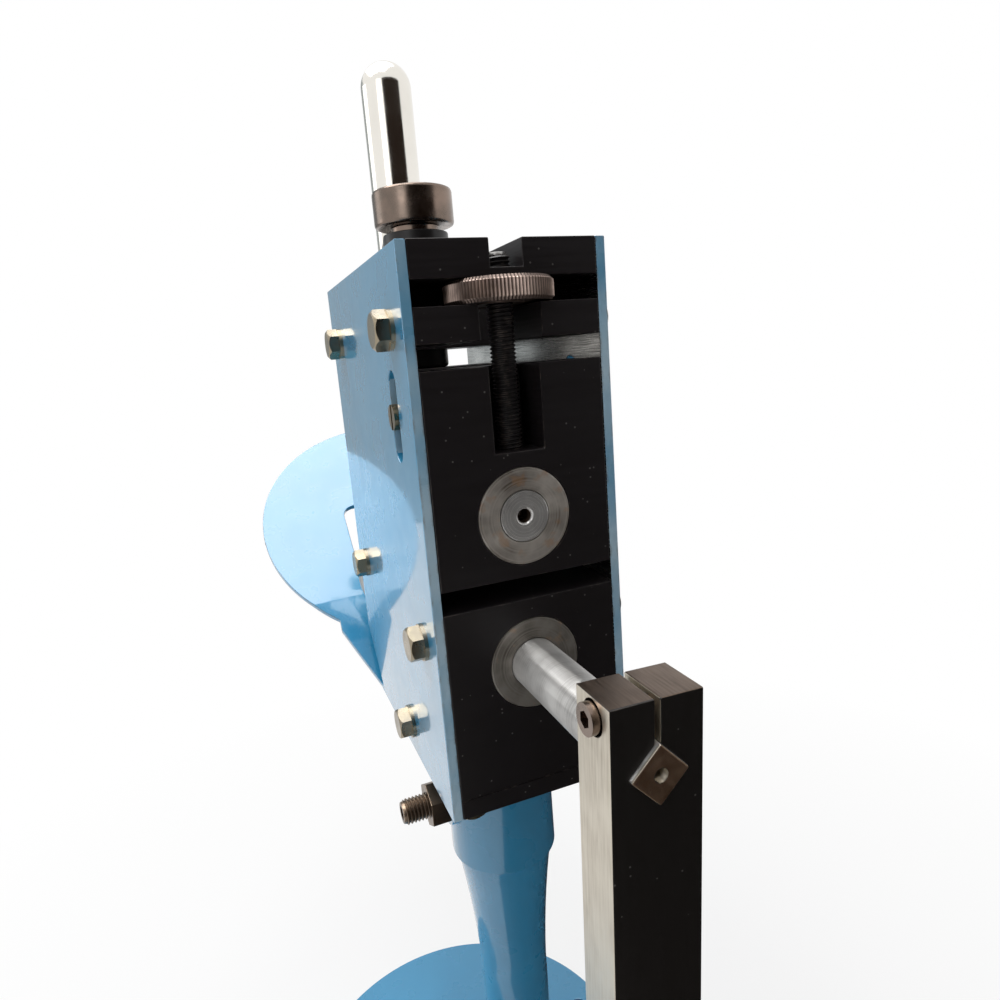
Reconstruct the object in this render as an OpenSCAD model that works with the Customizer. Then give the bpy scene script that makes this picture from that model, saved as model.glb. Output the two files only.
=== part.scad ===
// Hand flanger on a round stand: a head of two side plates carries a cranked lower shaft and a geared
// upper shaft that a screw presses down, with forming rolls in front and a tilted round work table.
// Frame: +Z up, +Y towards the rolls, origin on the column's axis at the underside of the base.

/* [Head] */
// Free width between the gears and each side plate, which sets the head's width
gear_side_gap = 3.5; // [2.5:0.5:12]
// Depth of the side plates, from the rear face to the front edge
head_d = 155; // [150:1:175]
// Height of the side plates
head_h = 220; // [200:1:250]
// Thickness of a side plate
plate_t = 4; // [3:0.5:6]
// Slanting cut at the lower front corner of the side plates
plate_cut = 30; // [15:1:34]
// Depth of the rear blocks
rear_block_d = 36; // [32:1:44]
// Depth of the front blocks
front_block_d = 52; // [48:1:56]
// Distance of the front blocks behind the plates' front edge
front_setback = 9; // [7:1:12]
// Height of the two top blocks
top_block_h = 35; // [33:1:38]
// Free height between the top blocks and the upper bearing blocks
top_gap = 9; // [7:0.5:12]
// Metal under the bush in an upper bearing block
upper_wall = 5; // [4:0.5:6]
// Metal over the bush in a lower bearing block
lower_wall = 8; // [6:0.5:9]
// Height of the lower shaft's axis over the head's bottom edge
axis_height = 59; // [56:1:66]
// Thickness of the bottom plate
bottom_t = 8; // [6:0.5:10]
// Free height between the lower gear and the swivel block under it
gear_clear = 3.5; // [2:0.5:6]
// Length of the swivel block along the head
swivel_d = 42; // [38:1:54]

/* [Shafts] */
// Diameter of the shafts in their bushes
shaft_d = 20; // [18:0.5:22]
// Outer diameter of the bushes
bush_od = 38; // [32:0.5:40]
// Diameter of the roll seats at the front of the shafts
seat_d = 18; // [16:0.5:18]
// Diameter of the thread for the roll nuts
nut_thread_d = 16; // [14:0.5:16]
// Diameter of the centre hole in a shaft's rear end
centre_hole_d = 6.5; // [4:0.5:8]
// Depth of the centre hole
centre_hole_l = 7; // [4:0.5:10]
// Width and height of the keys
key_size = 6; // [5:0.5:6]
// Distance of a key's ends from the ends of its seat
key_end_gap = 3; // [2:0.5:5]

/* [Gears] */
// Module of the two equal gears, whose teeth set the distance of the shafts
gear_module = 2.5; // [2.4:0.05:2.6]
// Number of teeth of each gear
gear_teeth = 24; // [24:2:24]
// Face width of the gears
gear_w = 20; // [14:1:28]
// Pressure angle of the teeth
pressure_angle = 20; // [18:1:24]
// Width taken off each tooth for backlash
backlash = 0.3; // [0.2:0.05:0.5]
// Outer diameter of the spacer sleeves beside the gears
sleeve_od = 28; // [25:0.5:34]

/* [Rolls] */
// Diameter of the lower roll's large disc
lower_disc_d = 82; // [70:1:84]
// Thickness of the lower roll's large disc
lower_disc_t = 8; // [6:0.5:9]
// Diameter of the upper roll
upper_roll_d = 72; // [60:1:76]
// Thickness of the upper roll
upper_roll_t = 10; // [8:0.5:12]
// Rounding of the roll edges
roll_round = 2.5; // [1:0.25:3]
// Distance of the lower disc in front of the side plates
roll_gap_plate = 4; // [3:0.5:6]
// Gap between the upper roll and the lower working drum, at the lowest setting
roll_gap = 0.3; // [0.2:0.1:1]
// Gap between the lower disc and the upper roll, along the shafts
roll_gap_side = 0.6; // [0.3:0.1:1.5]
// Diameter of the rolls' rear hubs
roll_hub_d = 30; // [27:0.5:32]
// Length by which the rolls run on in front of the upper roll
roll_tail = 6; // [4:0.5:8]
// Thickness of the washer under a roll nut
roll_washer_t = 3; // [2:0.5:4]
// Width across flats of a roll nut
roll_nut_af = 24; // [22:1:27]
// Height of a roll nut
roll_nut_h = 12; // [10:0.5:14]

/* [Rear adjuster] */
// Diameter of the threaded adjusting rod
rod_d = 10; // [8:0.5:12]
// Distance of the rod's axis in front of the rear face
rod_inset = 10; // [8:0.5:12]
// Depth of the rod's top end under the head's top
rod_top = 4; // [1:0.5:8]
// Diameter of the knurled thumb wheel
wheel_d = 41; // [34:1:44]
// Thickness of the thumb wheel
wheel_t = 8.5; // [6:0.5:10]
// Bevel of the thumb wheel's rims
wheel_bevel = 1.5; // [0.5:0.25:2.5]
// Depth of the thumb wheel's upper face under the head's top
wheel_depth = 13.5; // [13:0.5:15]
// Free width beside the rod in the notch on top of the rear block
notch_side = 1.2; // [0.6:0.1:3]
// Depth of that notch
notch_h = 10; // [6:0.5:11]
// Width of the slot under the thumb wheel
rod_slot_w = 24; // [18:1:26]
// Width of the rod's pocket in the upper rear block
pocket_w = 20; // [16:1:24]
// Depth of that pocket from the rear face
pocket_d = 20; // [17:1:26]
// Metal between the pocket's floor and the bush
pocket_floor = 6; // [5:0.5:8]
// Distance of the guide screws in front of the rear face
guide_station = 25.5; // [22:0.5:25.5]
// Depth of the guide screws under the head's top
guide_depth = 60.5; // [58:0.5:63]
// Diameter of the guide screws
guide_d = 10; // [8:0.5:10.5]
// Length of the guide slot in the side plates
guide_slot_l = 35; // [30:1:40]
// Free width beside a guide screw in its slot
guide_side = 0.5; // [0.2:0.1:1.5]
// Length of a guide screw inside its block
guide_grip = 13; // [10:1:14]
// Length of a guide screw proud of the side plate
guide_proud = 1.5; // [0:0.25:3]

/* [Pressure screw] */
// Diameter of the pressure screw
screw_d = 23; // [20:0.5:24]
// Distance of the screw's axis behind the plates' front edge
screw_setback = 42; // [36:1:46]
// Rounding of the screw's lower tip
screw_tip = 5; // [2:0.5:8]
// Diameter of the screw's top journal
journal_d = 18; // [14:0.5:19]
// Diameter of the black collar on top
collar_d = 39; // [34:0.5:44]
// Height of the collar
collar_h = 17; // [12:0.5:22]
// Bevel of the collar's rims
collar_bevel = 1; // [0.5:0.25:2]
// Height of the collar's lower boss
boss_h = 3; // [2:0.5:6]
// Free height between the head's top and the arm
arm_lift = 8; // [7:0.5:12]
// Thickness of the grip arm
lever_t = 13; // [10:0.5:16]
// Length of the grip arm between its two axes
lever_l = 50; // [42:1:70]
// Radius of the arm's hub end
lever_hub_r = 16; // [13:0.5:20]
// Radius of the arm's grip end
lever_end_r = 12; // [9:0.5:16]
// Angle of the arm at rest, from straight ahead towards +X
lever_angle = 6.5; // [-20:0.5:30]

/* [Lift springs] */
// Distance of each spring's axis from the side plate beside it
spring_inset = 9; // [8:0.5:10.5]
// Diameter of the spring pockets
spring_pocket_d = 12; // [10:0.5:13]
// Depth of the spring pockets
spring_pocket_l = 24; // [16:1:40]
// Diameter of the spring wire
spring_wire = 1.5; // [1:0.1:2]
// Number of coils
spring_coils = 7; // [5:1:9]
// Gap between a spring and its pocket or seat
spring_clear = 0.4; // [0.3:0.1:0.8]

/* [Crank] */
// Distance of the crank arm behind the rear face
crank_reach = 64.5; // [40:0.5:80]
// Thickness of the crank arm
crank_t = 19.5; // [14:0.5:22]
// Width of the crank arm
crank_w = 31.5; // [29:0.5:40]
// Height of the crank arm's top over the shaft's axis
crank_top = 23; // [21:0.5:30]
// Distance from the shaft's axis to the grip's axis
crank_r = 170; // [120:1:220]
// Lean of the crank arm at rest, its lower end towards -X
crank_lean = 1.7; // [-5:0.1:5]
// Width of the saw slit
slit_w = 1.75; // [1.5:0.25:4]
// Width across flats of the shaft's square end
square_af = 14; // [11:0.5:14]
// Length of the square end proud of the arm
square_proud = 1.5; // [1:0.5:8]
// Diameter of the pinch screw
pinch_d = 6; // [5:0.5:7]
// Diameter of the pinch screw's head
pinch_head_d = 10; // [9:0.5:11]
// Height of the pinch screw's head
pinch_head_h = 6; // [5:0.5:8]
// Depth by which the pinch screw's head is sunk in the arm
pinch_sink = 3.5; // [2:0.5:4.5]
// Width across flats of the nut on the grip bolt
grip_nut_af = 17; // [15:1:19]
// Height of the nut on the grip bolt
grip_nut_h = 8; // [6:0.5:10]

/* [Grips] */
// Diameter of both revolving grips
grip_d = 27; // [22:0.5:30]
// Length of both grips, dome included
grip_l = 96; // [70:1:130]
// Diameter of the bolts that the grips turn on
grip_bolt_d = 10; // [8:0.5:12]
// Length of a grip bolt inside its grip
grip_bolt_l = 70; // [40:1:90]
// Diameter of the flat head of the upper grip's bolt
pin_head_d = 16; // [14:0.5:20]
// Height of that flat head
pin_head_h = 4; // [3:0.5:5]

/* [Table] */
// Diameter of the work table
table_d = 178; // [160:1:200]
// Thickness of the table sheet
table_t = 4; // [3:0.5:5]
// Tilt of the table from level
table_tilt = 38; // [34:0.5:42]
// Distance of the table's centre in front of the side plates
table_reach = 64; // [60:1:70]
// Height of the table's centre over the head's bottom edge
table_rise = 77; // [72:1:82]
// Distance from the table's centre down to the bend of its neck
table_bend = 57; // [54:1:62]
// Slope of the neck from level
neck_slope = 50; // [46:0.5:56]
// Width of the neck at its widest
neck_wide = 110; // [90:1:120]
// Length over which the neck keeps that width
neck_straight = 20; // [16:1:26]
// Width of the neck where it turns under the head
neck_narrow = 78; // [60:1:80]
// Gap between the column's rim and the tab under the bottom plate
tab_gap = 18; // [10:0.5:20]
// Amount by which the window is narrower than the lower disc, which dips into it
window_inset = 9; // [4:0.5:10]
// Distance of the window's upper edge over the table's centre
window_top = 15; // [12:1:30]
// Length of the window in the neck
window_neck = 32; // [31:1:38]
// Rounding of the window's upper corners
window_r = 8; // [3:0.5:12]

/* [Column] */
// Distance of the column's axis in front of the head's rear face
column_back = 59; // [55:1:62]
// Height of the column
column_h = 240; // [200:1:320]
// Diameter of the column's shaft
column_d = 34.2; // [32:0.2:40]
// Diameter of the socket collar at the column's top
column_top_d = 52; // [50:0.5:60]
// Height of the socket collar
column_rim = 61.5; // [58:0.5:66]
// Step from the collar in to the flare under it
collar_step = 2; // [1:0.25:3]
// Radius of the flare under the collar
flare_r = 545; // [300:5:600]
// Depth by which the flare's arc runs into the plain shaft
flare_sink = 0.3; // [0.1:0.1:1]
// Diameter of the spigot in the column's socket
spigot_d = 30; // [26:0.5:32]
// Length of the spigot under the head
spigot_l = 55; // [48:1:60]
// Free depth under the spigot
socket_extra = 2; // [1:0.5:6]
// Width of the foot's rim outside the bolt heads
foot_margin = 1.5; // [1:0.25:8]
// Height of the column's foot
foot_h = 8; // [6:0.5:12]
// Radius of the fillet over the foot
foot_fillet = 8; // [3:0.5:10]
// Diameter of the circle of foot bolts
foot_pcd = 68; // [64:1:72]
// Number of foot bolts
foot_bolts_n = 4; // [3:1:6]
// Depth of the lock screw's axis under the column's top
lock_depth = 30; // [24:1:36]
// Diameter of the lock screw
lock_d = 12; // [8:0.5:12]
// Length of the lock screw outside its jam nut
lock_proud = 12.5; // [6:0.5:20]
// Height of the jam nut's flat seat over the collar
lock_seat_h = 2.5; // [1:0.5:5]
// Width across flats of the jam nut
lock_nut_af = 19; // [17:1:20]
// Height of the jam nut
lock_nut_h = 9; // [6:0.5:12]
// Diameter of the jam nut's seat
lock_seat_d = 24; // [23.5:0.5:28]

/* [Base] */
// Diameter of the base disc
base_d = 198; // [180:1:240]
// Thickness of the base disc
base_t = 10; // [8:0.5:16]
// Offset of the base's centre from the column's axis, along X
base_x = -25; // [-34:1:10]
// Offset of the base's centre from the column's axis, along Y
base_y = 31; // [10:1:34]
// Distance of the mounting holes from the base's rim
mount_edge = 16; // [12:0.5:20]
// Diameter of the mounting holes
mount_d = 11; // [8:0.5:13]
// Number of mounting holes
mount_n = 3; // [3:1:3]
// Direction of the first mounting hole, from +X
mount_angle = 10; // [0:1:18]

/* [Hex bolts] */
// Diameter of the hex bolts
bolt_d = 8; // [6:0.5:8]
// Width across flats of the hex bolts
bolt_af = 13; // [10:1:13]
// Height of the bolt heads
bolt_head_h = 5.5; // [4:0.5:7]
// Length of thread inside the block
bolt_grip = 15; // [10:1:15]
// Diameter of the washers
washer_d = 15; // [15:0.5:18]
// Thickness of the washers
washer_t = 1.6; // [1:0.1:2.5]
// Distance of the rear bolts in front of the rear face
bolt_rear = 18; // [18:0.5:21]
// Distance of the front bolts behind the plates' front edge
bolt_front = 24; // [20:1:26]
// Depth of the upper bolts under the head's top
bolt_upper = 28.5; // [28:0.5:29]
// Height of the lower rear bolts over the lower shaft's axis
bolt_over_axis = 11.5; // [9:0.5:13]
// Height of the lower front bolts over the lower shaft's axis
bolt_over_front = 16; // [9:0.5:17]
// Distance of the swivel block's bolts in front of the column's axis
bolt_swivel_front = 0; // [0:1:6]
// Distance of the upright bolts from the side plate beside them
bolt_bottom_inset = 7; // [5.5:0.5:10]
// Distance of the rear bottom bolts in front of the rear face
bolt_bottom_rear = 12; // [8:0.5:13]
// Length of thread of the upright bolts inside their block or plate
bolt_bottom_grip = 14; // [8:0.5:16]

/* [Clearances] */
// Radial clearance of the running fits
fit = 0.05; // [0.02:0.01:0.1]
// Clearance of the sliding blocks at each side plate
slide_fit = 0.08; // [0.03:0.01:0.2]
// Gap between faces that turn on each other
face_gap = 0.3; // [0.2:0.05:0.5]
// Clearance of a bolt in its plain hole, on the diameter
hole_fit = 0.5; // [0.2:0.1:1]
// Free depth past the end of a bolt
hole_run = 1; // [0.5:0.5:2]

/* [Hidden] */
$fn = 64;
// Overshoot of a cutting solid past the face that it cuts
over = 1;

gear_tip_r = gear_module * (gear_teeth + 2) / 2;
half_in = gear_tip_r + gear_side_gap;
half_w = half_in + plate_t;
head_bottom = base_t + column_h + face_gap;
head_top = head_bottom + head_h;
shaft_space = gear_module * gear_teeth;
lower_axis = head_h - axis_height;
upper_axis = lower_axis - shaft_space;
upper_block_top = top_block_h + top_gap;
upper_block_bottom = upper_axis + bush_od / 2 + upper_wall;
lower_block_top = lower_axis - bush_od / 2 - lower_wall;
lower_block_bottom = head_h - bottom_t;
swivel_h = axis_height - gear_tip_r - gear_clear - bottom_t;
front_block_rear = head_d - front_setback - front_block_d;
front_block_front = head_d - front_setback;
screw_station = head_d - screw_setback;
column_top = base_t + column_h;
lock_seat = column_top_d / 2 + lock_seat_h;
lock_reach = lock_seat + lock_nut_h + lock_proud;
flare_top_d = column_top_d - 2 * collar_step;
spring_station = (front_block_rear + front_block_front) / 2;
spring_x = half_in - spring_inset;
bolt_bottom_x = half_in - bolt_bottom_inset;
notch_w = rod_d + 2 * notch_side;
guide_slot_w = guide_d + 2 * guide_side;
window_w = lower_disc_d - window_inset;
mount_pcd = base_d - 2 * mount_edge;
foot_d = foot_pcd + bolt_af / cos(30) + 2 * foot_margin;

// Where the side bolts sit: distance in front of the rear face, and depth under the head's top
side_bolts = [
    [bolt_rear, bolt_upper],
    [head_d - bolt_front, bolt_upper],
    [bolt_rear, lower_axis - bolt_over_axis],
    [head_d - bolt_front, lower_axis - bolt_over_front],
    [column_back + bolt_swivel_front, lower_block_bottom - swivel_h / 2]
];

// Stations of the gears and rolls along the shafts
gear_middle = (rear_block_d + front_block_rear) / 2;
gear_rear = gear_middle - gear_w / 2;
gear_front = gear_middle + gear_w / 2;
roll_start = front_block_front + face_gap;
disc_rear = head_d + roll_gap_plate;
disc_front = disc_rear + lower_disc_t;
upper_roll_rear = disc_front + roll_gap_side;
upper_roll_front = upper_roll_rear + upper_roll_t;
roll_end = upper_roll_front + roll_tail;
nut_rear = roll_end + roll_washer_t;
nut_front = nut_rear + roll_nut_h;
shaft_end = nut_front + roll_washer_t;
drum_r = shaft_space - upper_roll_d / 2 - roll_gap;
gear_key_l = gear_w - 2 * key_end_gap;
roll_key_rear = disc_rear;
roll_key_l = upper_roll_front - disc_rear - key_end_gap;

// Levels of the pressure screw's parts, as heights over the head's top
lever_low = arm_lift;
lever_high = lever_low + lever_t;
collar_low = lever_high + boss_h;
collar_high = collar_low + collar_h;

// The table's bend and the neck's end, as distance in front of the rear face and depth
bend_station = head_d + table_reach - table_bend * cos(table_tilt);
bend_depth = head_h - table_rise + table_bend * sin(table_tilt);
tab_depth = head_h + table_t / 2;
neck_l = (tab_depth - bend_depth) / sin(neck_slope);
tab_front = bend_station - neck_l * cos(neck_slope);
tab_rear = column_back + column_top_d / 2 + tab_gap;
tab_l = tab_front - tab_rear;
tab_bolts = (tab_front + tab_rear) / 2;

// Height of a level that lies a given depth under the head's top
function level(depth) = head_top - depth;
// Y of a plane a given distance in front of the head's rear face
function station(front) = front - column_back;
// Point at a radius and an angle
function polar(r, a) = [r * cos(a), r * sin(a)];

// Block between two stations and two depths, of a given half width
module head_block(half, rear, front, top, bottom) {
    translate([-half, station(rear), level(bottom)])
        cube([2 * half, front - rear, bottom - top]);
}

// Cylinder along Y between two stations, around a point of the head's middle plane
module bar_y(d, rear, front, depth, x = 0) {
    translate([x, station(rear), level(depth)])
        rotate([-90, 0, 0]) cylinder(d = d, h = front - rear);
}

// Carries what is drawn on +Z to a side plate's outer face, pointing outwards
module on_side(side, place) {
    translate([side * half_w, station(place[0]), level(place[1])])
        rotate([0, side * 90, 0]) children();
}

// Hexagonal prism by its width across flats
module hexagon(af, h) {
    cylinder(d = af / cos(30), h = h, $fn = 6);
}

// Hex bolt whose shank points down from z = 0 and whose head starts a given lift above it
module hex_bolt(shank_l, lift = 0) {
    translate([0, 0, -shank_l]) cylinder(d = bolt_d, h = shank_l + lift);
    translate([0, 0, lift]) intersection() {
        hexagon(bolt_af, bolt_head_h);
        rotate_extrude() polygon([
            [0, 0], [bolt_af, 0], [bolt_af, bolt_head_h - (bolt_af / 2)],
            [bolt_af / 2 * 0.95, bolt_head_h], [0, bolt_head_h]
        ]);
    }
}

// Ring with a bore
module ring(od, bore, h) {
    difference() {
        cylinder(d = od, h = h);
        translate([0, 0, -over]) cylinder(d = bore, h = h + 2 * over);
    }
}

// Tapped holes for the side bolts that fall in one block
module side_taps(places) {
    for (side = [-1, 1], place = places)
        on_side(side, place) translate([0, 0, -plate_t - bolt_grip - hole_run])
            cylinder(d = bolt_d, h = plate_t + bolt_grip + hole_run + over);
}

// Tapped holes for upright bolts, drilled upwards from the bottom plate's upper face
module bottom_taps(front) {
    for (x = [-bolt_bottom_x, bolt_bottom_x])
        translate([x, station(front), level(lower_block_bottom) - over])
            cylinder(d = bolt_d, h = bolt_bottom_grip + hole_run + over);
}

// Half profile of a disc with rounded rim, for turning about the Y axis of the 2D plane
module rim_profile(r, t, rounding) {
    square([r - rounding, t]);
    translate([0, rounding]) square([r, t - 2 * rounding]);
    for (y = [rounding, t - rounding]) translate([r - rounding, y]) circle(r = rounding);
}

// Turned disc along +Z with a rounded rim
module rounded_disc(d, t, rounding) {
    rotate_extrude() intersection() {
        rim_profile(d / 2, t, rounding);
        square([d, t]);
    }
}

// Stand

module base_disc() {
    color("LightSkyBlue") difference() {
        translate([base_x, base_y, 0]) cylinder(d = base_d, h = base_t);
        for (i = [0 : mount_n - 1])
            translate([base_x, base_y, -over])
                translate(polar(mount_pcd / 2, mount_angle + i * 360 / mount_n))
                    cylinder(d = mount_d, h = base_t + 2 * over);
        foot_places() translate([0, 0, -over]) cylinder(d = bolt_d, h = base_t + 2 * over);
    }
}

// Repeats what is drawn at the base's underside at each foot bolt
module foot_places() {
    for (i = [0 : foot_bolts_n - 1])
        translate(polar(foot_pcd / 2, (i + 0.5) * 360 / foot_bolts_n)) children();
}

module foot_bolts() {
    color("DarkKhaki") foot_places() translate([0, 0, base_t + foot_h]) hex_bolt(foot_h + base_t - hole_run);
}

// Depth of the flare along the column, from the collar down to the plain shaft
function flare_l() = let (
    rise = (flare_top_d - column_d) / 2 + flare_sink
) sqrt(2 * flare_r * rise - pow(rise, 2));

module column() {
    color("SteelBlue") difference() {
        union() {
            translate([0, 0, base_t]) cylinder(d = foot_d, h = foot_h);
            translate([0, 0, base_t + foot_h]) rotate_extrude() difference() {
                square([column_d / 2 + foot_fillet, foot_fillet]);
                translate([column_d / 2 + foot_fillet, foot_fillet]) circle(r = foot_fillet);
            }
            translate([0, 0, base_t]) cylinder(d = column_d, h = column_h);
            translate([0, 0, column_top - column_rim]) cylinder(d = column_top_d, h = column_rim);
            translate([0, 0, column_top - column_rim - flare_l()]) rotate_extrude() difference() {
                square([flare_top_d / 2, flare_l()]);
                translate([column_d / 2 - flare_sink + flare_r, 0]) circle(r = flare_r, $fn = 180);
            }
            lock_place() cylinder(d = lock_seat_d, h = lock_seat);
        }
        translate([0, 0, column_top - spigot_l - socket_extra])
            cylinder(d = spigot_d + 2 * fit, h = spigot_l + socket_extra + over);
        lock_place() translate([0, 0, lock_seat]) cylinder(d = lock_seat_d, h = column_top_d);
        lock_place() cylinder(d = lock_d, h = column_top_d);
        foot_places() translate([0, 0, base_t - over])
            cylinder(d = bolt_d + hole_fit, h = foot_h + 2 * over);
    }
}

// Lays +Z along the lock screw, from the column's axis outwards to -X
module lock_place() {
    translate([0, 0, column_top - lock_depth]) rotate([0, -90, 0]) children();
}

module lock_screw() {
    first = spigot_d / 2 + face_gap;
    socket_af = lock_d / 2;
    socket_l = lock_d / 2;
    color("DimGray") lock_place() difference() {
        translate([0, 0, first]) cylinder(d = lock_d, h = lock_reach - first);
        translate([0, 0, lock_reach - socket_l]) hexagon(socket_af, socket_l + over);
    }
}

module lock_nut() {
    color("DimGray") lock_place() translate([0, 0, lock_seat]) difference() {
        hexagon(lock_nut_af, lock_nut_h);
        translate([0, 0, -over]) cylinder(d = lock_d, h = lock_nut_h + 2 * over);
    }
}

// Head frame

module side_plate(side) {
    difference() {
        translate([side > 0 ? half_in : -half_w, 0, 0]) rotate([90, 0, 90]) linear_extrude(plate_t) polygon([
            [station(0), level(head_h)],
            [station(head_d - plate_cut), level(head_h)],
            [station(head_d), level(head_h - plate_cut)],
            [station(head_d), level(0)],
            [station(0), level(0)]
        ]);
        for (place = side_bolts)
            on_side(side, place) translate([0, 0, -plate_t - over])
                cylinder(d = bolt_d + hole_fit, h = plate_t + 2 * over);
        guide_slot(side);
    }
}

// Cutter for the oval slot that a guide screw rides in
module guide_slot(side) {
    run = guide_slot_l - guide_slot_w;
    on_side(side, [guide_station, guide_depth]) translate([0, 0, -plate_t - over])
        linear_extrude(plate_t + 2 * over) {
            square([run, guide_slot_w], center = true);
            for (end = [-1, 1]) translate([end * run / 2, 0]) circle(d = guide_slot_w);
        }
}

module left_side_plate() {
    color("CornflowerBlue") side_plate(-1);
}

module right_side_plate() {
    color("CornflowerBlue") side_plate(1);
}

module rear_top_block() {
    slot_low = wheel_depth + wheel_t + face_gap;
    slot_high = wheel_depth - face_gap;
    slot_front = rod_inset + wheel_d / 2 + hole_run;
    color("Black") difference() {
        head_block(half_in, 0, rear_block_d, 0, top_block_h);
        head_block(half_in + over, -over, slot_front, slot_high, slot_low);
        head_block(notch_w / 2, -over, rear_block_d + over, -over, notch_h);
        head_block(rod_slot_w / 2, -over, rear_block_d + over, slot_low - over, top_block_h + over);
        translate([0, station(rod_inset), level(slot_low)])
            cylinder(d = rod_d + hole_fit, h = slot_low + over);
        side_taps([side_bolts[0]]);
    }
}

module front_top_block() {
    color("Black") difference() {
        head_block(half_in, front_block_rear, front_block_front, 0, top_block_h);
        translate([0, station(screw_station), level(top_block_h) - over])
            cylinder(d = screw_d + 2 * fit, h = top_block_h + 2 * over);
        side_taps([side_bolts[1]]);
    }
}

module lower_rear_block() {
    color("Black") difference() {
        head_block(half_in, 0, rear_block_d, lower_block_top, lower_block_bottom);
        bar_y(bush_od, -over, rear_block_d + over, lower_axis);
        side_taps([side_bolts[2]]);
        bottom_taps(bolt_bottom_rear);
    }
}

module lower_front_block() {
    color("Black") difference() {
        head_block(half_in, front_block_rear, front_block_front, lower_block_top, lower_block_bottom);
        bar_y(bush_od, front_block_rear - over, front_block_front + over, lower_axis);
        side_taps([side_bolts[3]]);
        bottom_taps(tab_bolts);
        for (x = [-spring_x, spring_x])
            translate([x, station(spring_station), level(lower_block_top + spring_pocket_l)])
                cylinder(d = spring_pocket_d, h = spring_pocket_l + over);
        // The block follows the slanting cut of the side plates
        head_cut();
    }
}

// Cutter for all that would lie beyond the side plates' slanting cut
module head_cut() {
    reach = front_setback + plate_cut;
    translate([-half_w, 0, 0]) rotate([90, 0, 90]) linear_extrude(2 * half_w) polygon([
        [station(head_d - plate_cut), level(head_h)],
        [station(head_d - plate_cut + reach), level(head_h)],
        [station(head_d - plate_cut + reach), level(head_h - reach)]
    ]);
}

module bottom_plate() {
    color("Black") difference() {
        head_block(half_in, 0, head_d - plate_cut, lower_block_bottom, head_h);
        translate([0, 0, level(head_h) - over]) cylinder(d = spigot_d + hole_fit, h = bottom_t + 2 * over);
        for (front = [bolt_bottom_rear, tab_bolts], x = [-bolt_bottom_x, bolt_bottom_x])
            translate([x, station(front), level(head_h) - over])
                cylinder(d = bolt_d + hole_fit, h = bottom_t + 2 * over);
    }
}

module swivel_block() {
    color("DimGray") difference() {
        union() {
            head_block(half_in, max(column_back - swivel_d / 2, rear_block_d + hole_fit),
                min(column_back + swivel_d / 2, front_block_rear - hole_fit),
                lower_block_bottom - swivel_h, lower_block_bottom);
            translate([0, 0, level(head_h + spigot_l)]) cylinder(d = spigot_d, h = spigot_l + bottom_t);
        }
        side_taps([side_bolts[4]]);
    }
}

module side_bolt_set(side) {
    color("DarkKhaki") for (place = side_bolts)
        on_side(side, place) hex_bolt(plate_t + bolt_grip, washer_t);
}

module left_bolts() {
    side_bolt_set(-1);
}

module right_bolts() {
    side_bolt_set(1);
}

module side_washer_set(side) {
    color("Silver") for (place = side_bolts)
        on_side(side, place) ring(washer_d, bolt_d, washer_t);
}

module left_washers() {
    side_washer_set(-1);
}

module right_washers() {
    side_washer_set(1);
}

// Pair of upright bolts driven from below, with their heads under a given depth
module upright_pair(front, depth) {
    for (x = [-bolt_bottom_x, bolt_bottom_x])
        translate([x, station(front), level(depth)]) rotate([180, 0, 0])
            hex_bolt(depth - lower_block_bottom + bolt_bottom_grip);
}

module bottom_bolts() {
    color("DarkKhaki") upright_pair(bolt_bottom_rear, head_h);
}

module table_bolts() {
    color("DarkKhaki") upright_pair(tab_bolts, head_h + table_t);
}

module lower_rear_bush() {
    bush(0, rear_block_d, lower_axis);
}

module lower_front_bush() {
    bush(front_block_rear, front_block_front, lower_axis);
}

// Plain bearing bush between two stations
module bush(rear, front, depth) {
    color("Gray") difference() {
        bar_y(bush_od, rear, front, depth);
        bar_y(shaft_d + 2 * fit, rear - over, front + over, depth);
    }
}

// Work table

// Slope midway between the disc and the neck, along whose normal the sheet's outline is cut
table_slope = (table_tilt + neck_slope) / 2;
half_bend = (neck_slope - table_tilt) / 2;

// Point beside a place of the sheet's middle line, at a distance on the normal of a slope
function beside(place, slope, distance) = place + distance * [-sin(slope), cos(slope)];

// Section of the bent sheet, as Y and Z, mitred at its two bends
module table_section() {
    half_t = table_t / 2;
    bend = [station(bend_station), level(bend_depth)];
    top = bend + 2 * table_d * [cos(table_tilt), sin(table_tilt)];
    fold = [station(tab_front), level(tab_depth)];
    tail = fold - [tab_l, 0];
    at_bend = half_t / cos(half_bend);
    at_fold = half_t / cos(neck_slope / 2);
    polygon([
        beside(top, table_tilt, half_t), beside(bend, table_slope, at_bend),
        beside(fold, neck_slope / 2, at_fold), beside(tail, 0, half_t),
        beside(tail, 0, -half_t), beside(fold, neck_slope / 2, -at_fold),
        beside(bend, table_slope, -at_bend), beside(top, table_tilt, -half_t)
    ]);
}

// Lays a drawing, with +Y uphill from the bend, square through the sheet to a depth each way
module through_table(depth) {
    translate([0, station(bend_station), level(bend_depth)]) rotate([table_slope, 0, 0])
        translate([0, 0, -depth]) linear_extrude(2 * depth) children();
}

module window_cut(low, high, rounding) {
    half = window_w / 2;
    translate([-half, low]) square([window_w, high - low - rounding]);
    translate([-half + rounding, low]) square([window_w - 2 * rounding, high - low]);
    for (side = [-1, 1]) translate([side * (half - rounding), high - rounding]) circle(r = rounding);
}

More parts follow.
